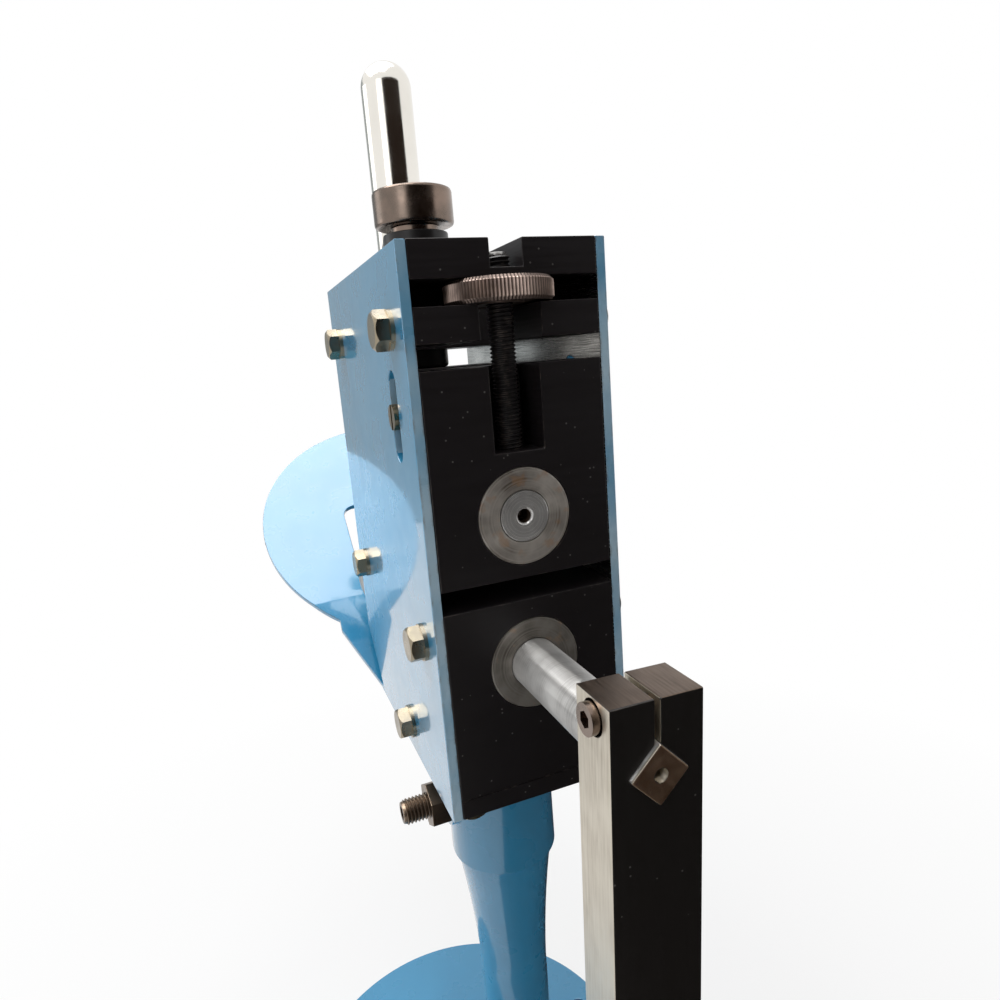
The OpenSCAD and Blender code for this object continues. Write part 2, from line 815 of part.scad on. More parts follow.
module work_table() {
    run = cos(half_bend);
    tail = neck_l * run + tab_l;
    color("LightSkyBlue") difference() {
        intersection() {
            translate([-table_d, 0, 0]) rotate([90, 0, 90]) linear_extrude(2 * table_d) table_section();
            through_table(table_d) {
                translate([0, table_bend * run]) circle(d = table_d, $fn = 128);
                polygon([
                    [-neck_wide / 2, 0], [-neck_wide / 2, -neck_straight * run],
                    [-neck_narrow / 2, -neck_l * run], [-neck_narrow / 2, -tail],
                    [neck_narrow / 2, -tail], [neck_narrow / 2, -neck_l * run],
                    [neck_wide / 2, -neck_straight * run], [neck_wide / 2, 0]
                ]);
            }
        }
        through_table(table_bend)
            window_cut(-window_neck * run, (table_bend + window_top) * run, window_r);
        for (x = [-bolt_bottom_x, bolt_bottom_x])
            translate([x, station(tab_bolts), level(head_h + table_t) - over])
                cylinder(d = bolt_d + hole_fit, h = table_t + 2 * over);
    }
}

// Lift springs

spring_low = level(lower_block_top + spring_pocket_l) + spring_wire / 2 + spring_clear;
spring_high = level(upper_block_bottom) - spring_wire / 2 - spring_clear;
spring_r = spring_pocket_d / 2 - spring_clear - spring_wire / 2;
spring_rings = 8 * spring_coils;
spring_sides = 6;

// Centre of one ring of the spring's wire
function coil_centre(i) = [
    spring_r * cos(i * 360 * spring_coils / spring_rings),
    spring_r * sin(i * 360 * spring_coils / spring_rings),
    spring_low + (spring_high - spring_low) * i / spring_rings
];
// Point on the wire's skin
function coil_point(i, j) = let (
    turn = i * 360 * spring_coils / spring_rings,
    around = j * 360 / spring_sides,
    out = spring_wire / 2 * cos(around)
) coil_centre(i) + [out * cos(turn), out * sin(turn), spring_wire / 2 * sin(around)];
// Least distance between two turns of the wire's centre line, measured on its points
function coil_gap() = min([
    for (i = [0 : spring_rings - 8]) norm(coil_centre(i + 8) - coil_centre(i))
]) - spring_wire;

module coil_spring() {
    last = spring_rings * spring_sides;
    points = [for (i = [0 : spring_rings], j = [0 : spring_sides - 1]) coil_point(i, j)];
    skin = [
        for (i = [0 : spring_rings - 1], j = [0 : spring_sides - 1])
            let (a = i * spring_sides + j, b = i * spring_sides + (j + 1) % spring_sides)
                each [[a, a + spring_sides, b], [b, a + spring_sides, b + spring_sides]]
    ];
    ends = [for (j = [1 : spring_sides - 2]) each [[0, j, j + 1], [last, last + j + 1, last + j]]];
    polyhedron(points = points, faces = concat(skin, ends));
}

module lift_springs() {
    echo(least_gap_between_spring_coils = coil_gap());
    color("DarkGray") for (x = [-spring_x, spring_x])
        translate([x, station(spring_station), 0]) coil_spring();
}

// Sliding bearing blocks

pocket_bottom = upper_axis - bush_od / 2 - pocket_floor;
rod_foot_d = rod_d / 2;
rod_foot_l = pocket_floor - hole_run;

module upper_rear_block() {
    color("Black") difference() {
        head_block(half_in - slide_fit, 0, rear_block_d, upper_block_top, upper_block_bottom);
        bar_y(bush_od, -over, rear_block_d + over, upper_axis);
        head_block(pocket_w / 2, -over, pocket_d, upper_block_top - over, pocket_bottom);
        translate([0, station(rod_inset), level(pocket_bottom + rod_foot_l)])
            cylinder(d = rod_foot_d, h = rod_foot_l + over);
        guide_taps();
    }
}

// Holes for the guide screws in the upper rear block
module guide_taps() {
    for (side = [-1, 1])
        on_side(side, [guide_station, guide_depth]) translate([0, 0, -plate_t - guide_grip])
            cylinder(d = guide_d, h = plate_t + guide_grip);
}

module upper_front_block() {
    color("Black") difference() {
        head_block(half_in - slide_fit, front_block_rear, front_block_front,
            upper_block_top, upper_block_bottom);
        bar_y(bush_od, front_block_rear - over, front_block_front + over, upper_axis);
    }
}

module upper_rear_bush() {
    bush(0, rear_block_d, upper_axis);
}

module upper_front_bush() {
    bush(front_block_rear, front_block_front, upper_axis);
}

module guide_screws() {
    slot_w = guide_d / 5;
    color("Goldenrod") for (side = [-1, 1]) on_side(side, [guide_station, guide_depth]) difference() {
        translate([0, 0, -plate_t - guide_grip])
            cylinder(d = guide_d, h = plate_t + guide_grip + guide_proud);
        translate([-guide_d, -slot_w / 2, guide_proud - slot_w]) cube([2 * guide_d, slot_w, slot_w + over]);
    }
}

module adjusting_rod() {
    color("Gray") {
        translate([0, station(rod_inset), level(pocket_bottom)])
            cylinder(d = rod_d, h = pocket_bottom - rod_top);
        translate([0, station(rod_inset), level(pocket_bottom + rod_foot_l)])
            cylinder(d = rod_foot_d, h = rod_foot_l + over);
    }
}

module thumb_wheel() {
    color("RosyBrown") translate([0, station(rod_inset), level(wheel_depth + wheel_t)]) difference() {
        rotate_extrude() polygon([
            [0, 0], [wheel_d / 2 - wheel_bevel, 0], [wheel_d / 2, wheel_bevel],
            [wheel_d / 2, wheel_t - wheel_bevel], [wheel_d / 2 - wheel_bevel, wheel_t], [0, wheel_t]
        ]);
        translate([0, 0, -over]) cylinder(d = rod_d + 2 * fit, h = wheel_t + 2 * over);
    }
}

// Pressure screw and its grip

// Carries what is drawn at the head's top level to the pressure screw's axis
module on_screw(height) {
    translate([0, station(screw_station), head_top + height]) children();
}

module pressure_screw() {
    color("DimGray") {
        on_screw(-upper_block_top) rotate_extrude() {
            translate([0, screw_tip]) square([screw_d / 2, upper_block_top + lever_low - screw_tip]);
            square([screw_d / 2 - screw_tip, screw_tip]);
            intersection() {
                translate([screw_d / 2 - screw_tip, screw_tip]) circle(r = screw_tip);
                square([screw_d, 2 * screw_tip]);
            }
        }
        on_screw(lever_low) cylinder(d = journal_d, h = collar_high - lever_low);
    }
}

module pressure_collar() {
    color("Black") on_screw(lever_high) difference() {
        rotate_extrude() {
            square([screw_d / 2, boss_h]);
            translate([0, boss_h]) polygon([
                [0, 0], [collar_d / 2 - collar_bevel, 0], [collar_d / 2, collar_bevel],
                [collar_d / 2, collar_h - collar_bevel], [collar_d / 2 - collar_bevel, collar_h],
                [0, collar_h]
            ]);
        }
        translate([0, 0, -over]) cylinder(d = journal_d, h = boss_h + collar_h + 2 * over);
    }
}

// Carries what is drawn at a height over the head's top to the upper grip's axis
module on_grip(height) {
    on_screw(height) rotate([0, 0, -lever_angle]) translate([0, lever_l, 0]) children();
}

module pressure_arm() {
    // Angle from the arm's line at which the tangent of its two ends touches them
    slant = acos((lever_hub_r - lever_end_r) / lever_l);
    color("Black") difference() {
        on_screw(lever_low) rotate([0, 0, -lever_angle]) linear_extrude(lever_t) {
            circle(r = lever_hub_r);
            translate([0, lever_l]) circle(r = lever_end_r);
            polygon([
                polar(lever_hub_r, 90 - slant),
                polar(lever_end_r, 90 - slant) + [0, lever_l],
                polar(lever_end_r, 90 + slant) + [0, lever_l],
                polar(lever_hub_r, 90 + slant)
            ]);
        }
        on_screw(lever_low - over) cylinder(d = journal_d, h = lever_t + 2 * over);
        on_grip(lever_low - over) cylinder(d = grip_bolt_d, h = lever_t + 2 * over);
    }
}

module pressure_grip_pin() {
    color("Gray") {
        on_grip(lever_low) cylinder(d = grip_bolt_d, h = lever_t + grip_bolt_l);
        on_grip(lever_low - pin_head_h) cylinder(d = pin_head_d, h = pin_head_h);
    }
}

// Revolving grip along +Z with a domed end and a blind bore for its bolt
module grip() {
    color("Silver") difference() {
        union() {
            cylinder(d = grip_d, h = grip_l - grip_d / 2);
            translate([0, 0, grip_l - grip_d / 2]) sphere(d = grip_d);
        }
        translate([0, 0, -over]) cylinder(d = grip_bolt_d + 2 * fit, h = grip_bolt_l + hole_run + over);
    }
}

module pressure_grip() {
    on_grip(lever_high + face_gap) grip();
}

// Shafts, gears and rolls

// Angle in degrees by which an involute has turned at a given pressure angle
function involute(a) = tan(a) * 180 / PI - a;
// Half angle of a tooth at a radius
function half_tooth(r) = let (
    pitch_r = gear_module * gear_teeth / 2,
    base_r = pitch_r * cos(pressure_angle),
    at_pitch = 90 / gear_teeth - backlash / 2 / pitch_r * 180 / PI,
    a = r > base_r ? acos(base_r / r) : 0
) at_pitch + involute(pressure_angle) - involute(a);

// Outline of a gear with a tooth on the +X axis
module gear_outline() {
    pitch_r = gear_module * gear_teeth / 2;
    base_r = pitch_r * cos(pressure_angle);
    root_r = pitch_r - 1.25 * gear_module;
    tip_r = pitch_r + gear_module;
    steps = 4;
    radii = concat([root_r], [for (i = [0 : steps]) base_r + (tip_r - base_r) * i / steps]);
    polygon([
        for (tooth = [0 : gear_teeth - 1]) let (middle = tooth * 360 / gear_teeth) each concat(
            [for (r = radii) polar(r, middle - half_tooth(r))],
            [for (i = [len(radii) - 1 : -1 : 0]) polar(radii[i], middle + half_tooth(radii[i]))]
        )
    ]);
}

// Spur gear on a shaft axis, turned by an angle, with its bore and keyway
module gear(depth, turn) {
    color("Gray") difference() {
        translate([0, station(gear_rear), level(depth)]) rotate([-90, 0, 0]) rotate([0, 0, turn])
            linear_extrude(gear_w) gear_outline();
        bar_y(shaft_d, gear_rear - over, gear_front + over, depth);
        key_box(depth, gear_rear - over, gear_front + over, shaft_d);
    }
}

// Space of a key on top of a shaft of a given diameter
module key_box(depth, rear, front, d) {
    translate([-key_size / 2, station(rear), level(depth) + d / 2 - key_size / 2])
        cube([key_size, front - rear, key_size]);
}

// The two keys of a shaft: one under the gear, one under the roll
module keys(depth) {
    color("DarkGray") {
        key_box(depth, gear_rear + key_end_gap, gear_rear + key_end_gap + gear_key_l, shaft_d);
        key_box(depth, roll_key_rear, roll_key_rear + roll_key_l, seat_d);
    }
}

// Shaft from a rear station to its threaded front end, without its keyways
module shaft_blank(depth, rear) {
    bar_y(shaft_d, rear, roll_start, depth);
    bar_y(seat_d, roll_start, roll_end, depth);
    bar_y(nut_thread_d, roll_end, shaft_end, depth);
}

// Drilled centre in a shaft's rear end: a short bore with a conical mouth
module centre_hole(rear, depth) {
    translate([0, station(rear), level(depth)]) rotate([-90, 0, 0]) {
        translate([0, 0, -over]) cylinder(d = centre_hole_d / 2, h = centre_hole_l + over);
        cylinder(d1 = centre_hole_d, d2 = centre_hole_d / 2, h = centre_hole_d / 2);
    }
}

// Spacer sleeves between the blocks and the gear
module sleeves(depth) {
    spans = [[rear_block_d + face_gap, gear_rear], [gear_front, front_block_rear - face_gap]];
    color("Gray") for (span = spans)
        difference() {
            bar_y(sleeve_od, span[0], span[1], depth);
            bar_y(shaft_d, span[0] - over, span[1] + over, depth);
        }
}

module roll_washer(depth) {
    color("Silver") difference() {
        bar_y(roll_hub_d, roll_end, nut_rear, depth);
        bar_y(nut_thread_d, roll_end - over, nut_rear + over, depth);
    }
}

module roll_nut(depth) {
    color("Silver") difference() {
        translate([0, station(nut_rear), level(depth)]) rotate([-90, 0, 0]) hexagon(roll_nut_af, roll_nut_h);
        bar_y(nut_thread_d, nut_rear - over, nut_front + over, depth);
    }
}

module upper_shaft() {
    color("LightGray") difference() {
        shaft_blank(upper_axis, 0);
        keys(upper_axis);
        centre_hole(0, upper_axis);
    }
}

module upper_gear() {
    gear(upper_axis, 90 + 180 / gear_teeth);
}

module upper_sleeves() {
    sleeves(upper_axis);
}

module upper_keys() {
    keys(upper_axis);
}

module upper_roll() {
    color("DarkGray") difference() {
        union() {
            bar_y(roll_hub_d, roll_start, upper_roll_rear, upper_axis);
            translate([0, station(upper_roll_rear), level(upper_axis)]) rotate([-90, 0, 0])
                rounded_disc(upper_roll_d, upper_roll_t, roll_round);
            bar_y(roll_hub_d, upper_roll_front, roll_end, upper_axis);
        }
        bar_y(seat_d, roll_start - over, roll_end + over, upper_axis);
        key_box(upper_axis, roll_key_rear, roll_key_rear + roll_key_l, seat_d);
    }
}

module upper_roll_washer() {
    roll_washer(upper_axis);
}

module upper_roll_nut() {
    roll_nut(upper_axis);
}

// Distance of the crank arm's outer face, and of the square end, behind the rear face
crank_outer = crank_reach + crank_t;
square_end = crank_outer + square_proud;

// Leans what is drawn about the lower shaft's axis, as the crank stands at rest
module on_crank() {
    translate([0, 0, level(lower_axis)]) rotate([0, crank_lean, 0])
        translate([0, 0, -level(lower_axis)]) children();
}

// Square prism on a corner along Y between two stations, on the lower shaft's axis
module square_bar(af, rear, front) {
    translate([0, station(rear), level(lower_axis)]) rotate([-90, 0, 0]) rotate([0, 0, 45])
        translate([-af / 2, -af / 2, 0]) cube([af, af, front - rear]);
}

module lower_shaft() {
    color("LightGray") difference() {
        union() {
            shaft_blank(lower_axis, -crank_reach);
            on_crank() intersection() {
                square_bar(square_af, -square_end, -crank_reach + over);
                bar_y(shaft_d, -square_end, -crank_reach + over, lower_axis);
            }
        }
        keys(lower_axis);
        centre_hole(-square_end, lower_axis);
    }
}

module lower_gear() {
    gear(lower_axis, 90);
}

module lower_sleeves() {
    sleeves(lower_axis);
}

module lower_keys() {
    keys(lower_axis);
}

module lower_roll() {
    color("DarkGray") difference() {
        union() {
            bar_y(roll_hub_d, roll_start, disc_rear, lower_axis);
            translate([0, station(disc_rear), level(lower_axis)]) rotate([-90, 0, 0])
                rounded_disc(lower_disc_d, lower_disc_t, roll_round);
            bar_y(2 * drum_r, disc_front, roll_end, lower_axis);
        }
        bar_y(seat_d, roll_start - over, roll_end + over, lower_axis);
        key_box(lower_axis, roll_key_rear, roll_key_rear + roll_key_l, seat_d);
    }
}

module lower_roll_washer() {
    roll_washer(lower_axis);
}

module lower_roll_nut() {
    roll_nut(lower_axis);
}

// Crank

module crank_arm() {
    color("Black") on_crank() difference() {
        union() {
            head_block(crank_w / 2, -crank_outer, -crank_reach, lower_axis - crank_top, lower_axis + crank_r);
            bar_y(crank_w, -crank_outer, -crank_reach, lower_axis + crank_r);
        }
        square_bar(square_af, -crank_outer - over, -crank_reach + over);
        head_block(slit_w / 2, -crank_outer - over, -crank_reach + over,
            lower_axis - crank_top - over, lower_axis - square_af / 2);
        pinch_place() {
            translate([0, 0, -over]) cylinder(d = pinch_d, h = crank_w + 2 * over);
            translate([0, 0, -over]) cylinder(d = pinch_head_d + 2 * hole_fit, h = pinch_sink + over);
        }
        bar_y(grip_bolt_d, -crank_outer - over, -crank_reach + over, lower_axis + crank_r);
    }
}

// Lays +Z along the pinch screw, from the arm's -X face inwards
module pinch_place() {
    pinch_level = level(lower_axis) + (square_af / sqrt(2) + crank_top) / 2;
    translate([-crank_w / 2, station(-crank_reach - crank_t / 2), pinch_level])
        rotate([0, 90, 0]) children();
}

module pinch_screw() {
    socket_af = pinch_d * 0.8;
    socket_l = pinch_head_h / 2;
    color("DimGray") on_crank() pinch_place() translate([0, 0, pinch_sink]) difference() {
        union() {
            cylinder(d = pinch_d, h = crank_w - pinch_sink);
            translate([0, 0, -pinch_head_h]) cylinder(d = pinch_head_d, h = pinch_head_h);
        }
        translate([0, 0, -pinch_head_h - over]) hexagon(socket_af, socket_l + over);
    }
}

module crank_grip_bolt() {
    color("Gray") on_crank()
        bar_y(grip_bolt_d, -crank_outer - grip_bolt_l, -crank_reach + grip_nut_h, lower_axis + crank_r);
}

module crank_grip_nut() {
    color("Silver") on_crank() difference() {
        translate([0, station(-crank_reach), level(lower_axis + crank_r)]) rotate([-90, 0, 0])
            hexagon(grip_nut_af, grip_nut_h);
        bar_y(grip_bolt_d, -crank_reach - over, -crank_reach + grip_nut_h + over, lower_axis + crank_r);
    }
}

module crank_grip() {
    on_crank() translate([0, station(-crank_outer - face_gap), level(lower_axis + crank_r)])
        rotate([90, 0, 0]) grip();
}

base_disc();
column();
foot_bolts();
lock_screw();
lock_nut();
left_side_plate();
right_side_plate();
rear_top_block();
front_top_block();
lower_rear_block();
lower_front_block();
bottom_plate();
swivel_block();
left_bolts();
right_bolts();
left_washers();
right_washers();
bottom_bolts();
work_table();
table_bolts();
lower_rear_bush();
lower_front_bush();
lift_springs();
upper_rear_block();
upper_front_block();
upper_rear_bush();
upper_front_bush();
guide_screws();
adjusting_rod();
thumb_wheel();
pressure_screw();
pressure_collar();
pressure_arm();
pressure_grip_pin();
pressure_grip();
upper_shaft();
upper_gear();
upper_sleeves();
upper_keys();
upper_roll();
upper_roll_washer();
upper_roll_nut();
lower_shaft();
lower_gear();
lower_sleeves();
lower_keys();
lower_roll();
lower_roll_washer();
lower_roll_nut();
crank_arm();
pinch_screw();
crank_grip_bolt();
crank_grip_nut();
crank_grip();
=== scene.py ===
"""Looks of the hand flanger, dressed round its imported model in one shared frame, in metres.

The machine is dressed one sub-assembly at a time: stand, head, carriage, thumb wheel, pressure
screw, upper train and crank train. The studio comes last. Column axis is Z, the rolls face +Y
and the crank is on the -Y side.
"""
import logging
import math
from contextlib import contextmanager
from dataclasses import dataclass, field
from enum import Enum
from typing import Any, Callable, Iterator, Sequence

import bpy
from bpy.types import Material, Node, NodeSocket, NodeTree, Object
from mathutils import Euler, Matrix, Vector


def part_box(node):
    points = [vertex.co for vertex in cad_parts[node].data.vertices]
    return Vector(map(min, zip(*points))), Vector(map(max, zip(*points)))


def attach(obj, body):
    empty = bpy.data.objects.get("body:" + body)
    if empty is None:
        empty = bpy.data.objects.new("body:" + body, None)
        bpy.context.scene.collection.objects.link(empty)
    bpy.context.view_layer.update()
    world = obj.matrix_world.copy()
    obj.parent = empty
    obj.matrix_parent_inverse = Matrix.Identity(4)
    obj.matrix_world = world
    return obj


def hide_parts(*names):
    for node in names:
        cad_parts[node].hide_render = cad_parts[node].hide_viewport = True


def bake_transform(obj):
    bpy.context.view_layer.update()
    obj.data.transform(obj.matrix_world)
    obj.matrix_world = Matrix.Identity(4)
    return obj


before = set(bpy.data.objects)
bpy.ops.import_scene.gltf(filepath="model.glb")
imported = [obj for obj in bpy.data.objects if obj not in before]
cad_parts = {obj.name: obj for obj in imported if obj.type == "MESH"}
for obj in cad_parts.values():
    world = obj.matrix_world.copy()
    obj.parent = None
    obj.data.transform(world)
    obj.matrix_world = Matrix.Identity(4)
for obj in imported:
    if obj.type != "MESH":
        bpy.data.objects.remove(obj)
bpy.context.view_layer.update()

Colour = tuple[float, float, float, float]
Point = tuple[float, float, float]
Span = tuple[float, float]
FaceTest = Callable[[Vector, Vector], bool]

MM = 0.001
WELD = 0.002 * MM
UNIT: Span = (0.0, 1.0)
NOISE: Span = (0.3, 0.7)
WHITE: Colour = (1.0, 1.0, 1.0, 1.0)
LOG = logging.getLogger("hand_flanger")


class Slot(Enum):
    """The record's material slots."""

    BLUE_PAINT = "blue_paint"
    BLACK_STEEL = "black_steel"
    BUSH_STEEL = "bush_steel"
    BRIGHT_STEEL = "bright_steel"
    ZINC_YELLOW = "zinc_yellow"
    KNURLED_STEEL = "knurled_steel"
    CHROME = "chrome"


class Axis(Enum):
    """The way a round piece lies in the machine, as the turn that takes local Z there."""

    X = (0.0, math.pi / 2, 0.0)
    Y = (-math.pi / 2, 0.0, 0.0)
    Z = (0.0, 0.0, 0.0)

    @property
    def turn(self) -> Euler:
        """The turn as Euler angles."""
        return Euler(self.value)


class Part(Enum):
    """The parts of a mesh that are selected here."""

    VERTEX = "VERT"
    FACE = "FACE"


def rgb(red: float, green: float, blue: float) -> Colour:
    """Gives an opaque colour in linear light, from shares of 0 to 1."""
    return (red, green, blue, 1.0)


def corners(node: str) -> tuple[Vector, Vector]:
    """Gives the low and the high corner of a CAD node's box."""
    low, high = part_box(node)
    return Vector(low), Vector(high)


def middle(node: str) -> Vector:
    """Gives the middle of a CAD node's box."""
    low, high = corners(node)
    return (low + high) / 2


def extent(node: str) -> Vector:
    """Gives the three sides of a CAD node's box."""
    low, high = corners(node)
    return high - low


def foot(node: str) -> Vector:
    """Gives the middle of the underside of a CAD node's box."""
    return Vector((*middle(node).xy, corners(node)[0].z))


class Bench:
    """Blender's operators as they are used here: one piece picked at a time."""

    @staticmethod
    def pick(*pieces: Object) -> None:
        """Selects these pieces alone, with the first as the active one.

        Args:
            pieces: the pieces.
        """
        bpy.ops.object.select_all(action="DESELECT")
        for piece in pieces:
            piece.select_set(True)
        bpy.context.view_layer.objects.active = pieces[0]

    @staticmethod
    def start(name: str, primitive: Callable[..., Any], **sizes: Any) -> Object:
        """Starts a piece from a primitive.

        Args:
            name: the piece's name.
            primitive: the operator that adds the primitive.
            sizes: the operator's values.

        Returns:
            The piece so far.
        """
        primitive(**sizes)
        bpy.context.active_object.name = name
        return bpy.context.active_object

    @staticmethod
    def link(name: str, data: Any) -> Object:
        """Puts new data into the scene.

        Args:
            name: the object's name.
            data: its mesh, lamp or camera.

        Returns:
            The new object.
        """
        made = bpy.data.objects.new(name, data)
        bpy.context.scene.collection.objects.link(made)
        return made

    @staticmethod
    @contextmanager
    def editing(piece: Object) -> Iterator[None]:
        """Opens a piece in edit mode with all of it selected, and closes it afterwards.

        Args:
            piece: the piece.

        Returns:
            The context in which it is open.
        """
        Bench.pick(piece)
        bpy.ops.object.mode_set(mode="EDIT")
        bpy.ops.mesh.select_mode(type="VERT")
        bpy.ops.mesh.select_all(action="SELECT")
        yield
        bpy.ops.object.mode_set(mode="OBJECT")

    @staticmethod
    def mark(piece: Object, part: Part, chosen: Callable[[Any], bool]) -> None:
        """Selects some vertices or faces of a piece that is open in edit mode.

        Args:
            piece: the piece.
            part: which of the two.
            chosen: true for those to select.
        """
        bpy.ops.mesh.select_mode(type=part.value)
        bpy.ops.mesh.select_all(action="DESELECT")
        bpy.ops.object.mode_set(mode="OBJECT")
        mesh = piece.data
        for item in mesh.polygons if part is Part.FACE else mesh.vertices:
            item.select = chosen(item)
        bpy.ops.object.mode_set(mode="EDIT")

    @staticmethod
    def close(piece: Object) -> None:
        """Welds a piece's doubles and points its faces outwards.

        Args:
            piece: the piece.
        """
        with Bench.editing(piece):
            bpy.ops.mesh.remove_doubles(threshold=WELD)
            bpy.ops.mesh.normals_make_consistent(inside=False)

    @staticmethod
    def apply(piece: Object, kind: str, **settings: Any) -> None:
        """Adds one modifier to a piece and applies it.

        Args:
            piece: the piece to change.
            kind: Blender's name of the modifier.
            settings: the modifier's values.
        """
        Bench.pick(piece)
        modifier = piece.modifiers.new(kind.lower(), kind)
        for key, value in settings.items():
            setattr(modifier, key, value)
        bpy.ops.object.modifier_apply(modifier=modifier.name)

    @staticmethod
    def cut(piece: Object, cutter: Object) -> None:
        """Takes a cutter's shape out of a piece and throws the cutter away."""
        Bench.apply(piece, "BOOLEAN", operation="DIFFERENCE", object=cutter, solver="EXACT")
        bpy.data.objects.remove(cutter)

    @staticmethod
    def settle(piece: Object) -> None:
        """Puts a piece's place, turn and scale into its mesh."""
        Bench.pick(piece)
        bpy.ops.object.transform_apply(location=True, rotation=True, scale=True)

    @staticmethod
    def lay(piece: Object, axis: Axis, place: Vector) -> None:
        """Lays a piece made about local Z on its axis, with its place in its mesh.

        Args:
            piece: the piece to lay.
            axis: the axis that it goes on.
            place: the point that its local origin goes to.
        """
        piece.rotation_euler = axis.turn
        piece.location = place
        Bench.settle(piece)

    @staticmethod
    def smooth(piece: Object, degrees: float = 32.0) -> None:
        """Shades a piece smooth, apart from edges sharper than the angle."""
        Bench.pick(piece)
        bpy.ops.object.shade_smooth_by_angle(angle=math.radians(degrees))


@dataclass
class Lathe:
    """Turns closed round pieces about local Z, ring by ring."""

    segments: int = 64

    def turn(self, name: str, rings: Sequence[Span]) -> Object:
        """Turns one piece.

        Args:
            name: the piece's name.
            rings: radius and height of each ring, from the lowest up.

        Returns:
            The piece, with its axis on local Z.
        """
        radius, height = rings[0]
        piece = Bench.start(
            name, bpy.ops.mesh.primitive_circle_add, vertices=self.segments, radius=radius,
            fill_type="NGON", location=(0, 0, height),
        )
        with Bench.editing(piece):
            for next_radius, next_height in rings[1:]:
                rise = (0, 0, next_height - height)
                bpy.ops.mesh.extrude_region_move(TRANSFORM_OT_translate={"value": rise})
                share = next_radius / radius
                bpy.ops.transform.resize(
                    value=(share, share, 1), center_override=(0, 0, next_height)
                )
                radius, height = next_radius, next_height
        Bench.settle(piece)
        Bench.close(piece)
        return piece


@dataclass
class ThreadCutter:
    """Cuts a screw thread about local Z as a closed solid."""

    crest: float
    pitch: float
    depth_share: float = 0.5
    flank_share: float = 0.42
    land_share: float = 0.08
    steps: int = 32
    lead_turns: int = 2
    spare_turns: int = 3

    @property
    def root(self) -> float:
        """Radius at the bottom of the thread."""
        return self.crest - self.depth_share * self.pitch

    def cut(self, low: float, high: float) -> Object:
        """Winds the thread's flank once round per turn and cuts both ends flat.

        Args:
            low: height of the lower end.
            high: height of the upper end.

        Returns:
            The thread, closed at both ends.
        """
        piece = Bench.start("thread", bpy.ops.mesh.primitive_plane_add, size=self.pitch)
        rise = self.crest - self.root
        flank, land = self.flank_share, self.land_share
        turns = math.ceil((high - low) / self.pitch) + self.spare_turns
        with Bench.editing(piece):
            bpy.ops.mesh.merge(type="CENTER")
            bottom = low - self.lead_turns * self.pitch
            bpy.ops.transform.translate(value=(self.root, 0, bottom))
            for out, share in ((rise, flank), (0, land), (-rise, flank), (0, land)) * turns:
                step = (out, 0, share * self.pitch)
                bpy.ops.mesh.extrude_vertices_move(TRANSFORM_OT_translate={"value": step})
        Bench.apply(
            piece, "SCREW", axis="Z", angle=2 * math.pi, screw_offset=self.pitch,
            steps=self.steps, render_steps=self.steps,
        )
        with Bench.editing(piece):
            bpy.ops.mesh.remove_doubles(threshold=WELD)
            for height, side in ((low, {"clear_inner": True}), (high, {"clear_outer": True})):
                bpy.ops.mesh.select_all(action="SELECT")
                bpy.ops.mesh.bisect(
                    plane_co=(0, 0, height), plane_no=(0, 0, 1), use_fill=True, **side
                )
        Bench.close(piece)
        return piece

    def screw(self, name: str, core: Object, ends: Span, axis: Axis, place: Vector) -> Object:
        """Cuts the thread round a turned core and lays both as one piece.

        Args:
            name: the piece's name.
            core: the core, about local Z.
            ends: height of the thread's lower and upper end.
            axis: the axis that the piece goes on.
            place: the point that its local origin goes to.

        Returns:
            The screw.
        """
        screw = self.cut(*ends)
        Bench.pick(screw, core)
        bpy.ops.object.join()
        screw.name = name
        Bench.lay(screw, axis, place)
        Bench.smooth(screw)
        return screw


@dataclass
class EdgeBreaker:
    """Takes the sharp edges off a copy of a CAD node, as a file does on the real piece."""

    width: float
    segments: int = 2
    sharpest: float = math.radians(35)
    flat: float = math.radians(0.4)

    def ease(self, node: str) -> Object:
        """Copies a node and breaks the copy's edges.

        Args:
            node: the CAD node's name.

        Returns:
            The eased copy.
        """
        piece = Bench.link(f"{node}_eased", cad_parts[node].data.copy())
        Bench.pick(piece)
        bpy.ops.mesh.customdata_custom_splitnormals_clear()
        with Bench.editing(piece):
            bpy.ops.mesh.remove_doubles(threshold=WELD)
            bpy.ops.mesh.dissolve_limited(angle_limit=self.flat)
        Bench.apply(
            piece, "BEVEL", width=self.width, segments=self.segments, limit_method="ANGLE",
            angle_limit=self.sharpest, use_clamp_overlap=False,
        )
        Bench.smooth(piece)
        Bench.apply(piece, "WEIGHTED_NORMAL", keep_sharp=True)
        return piece


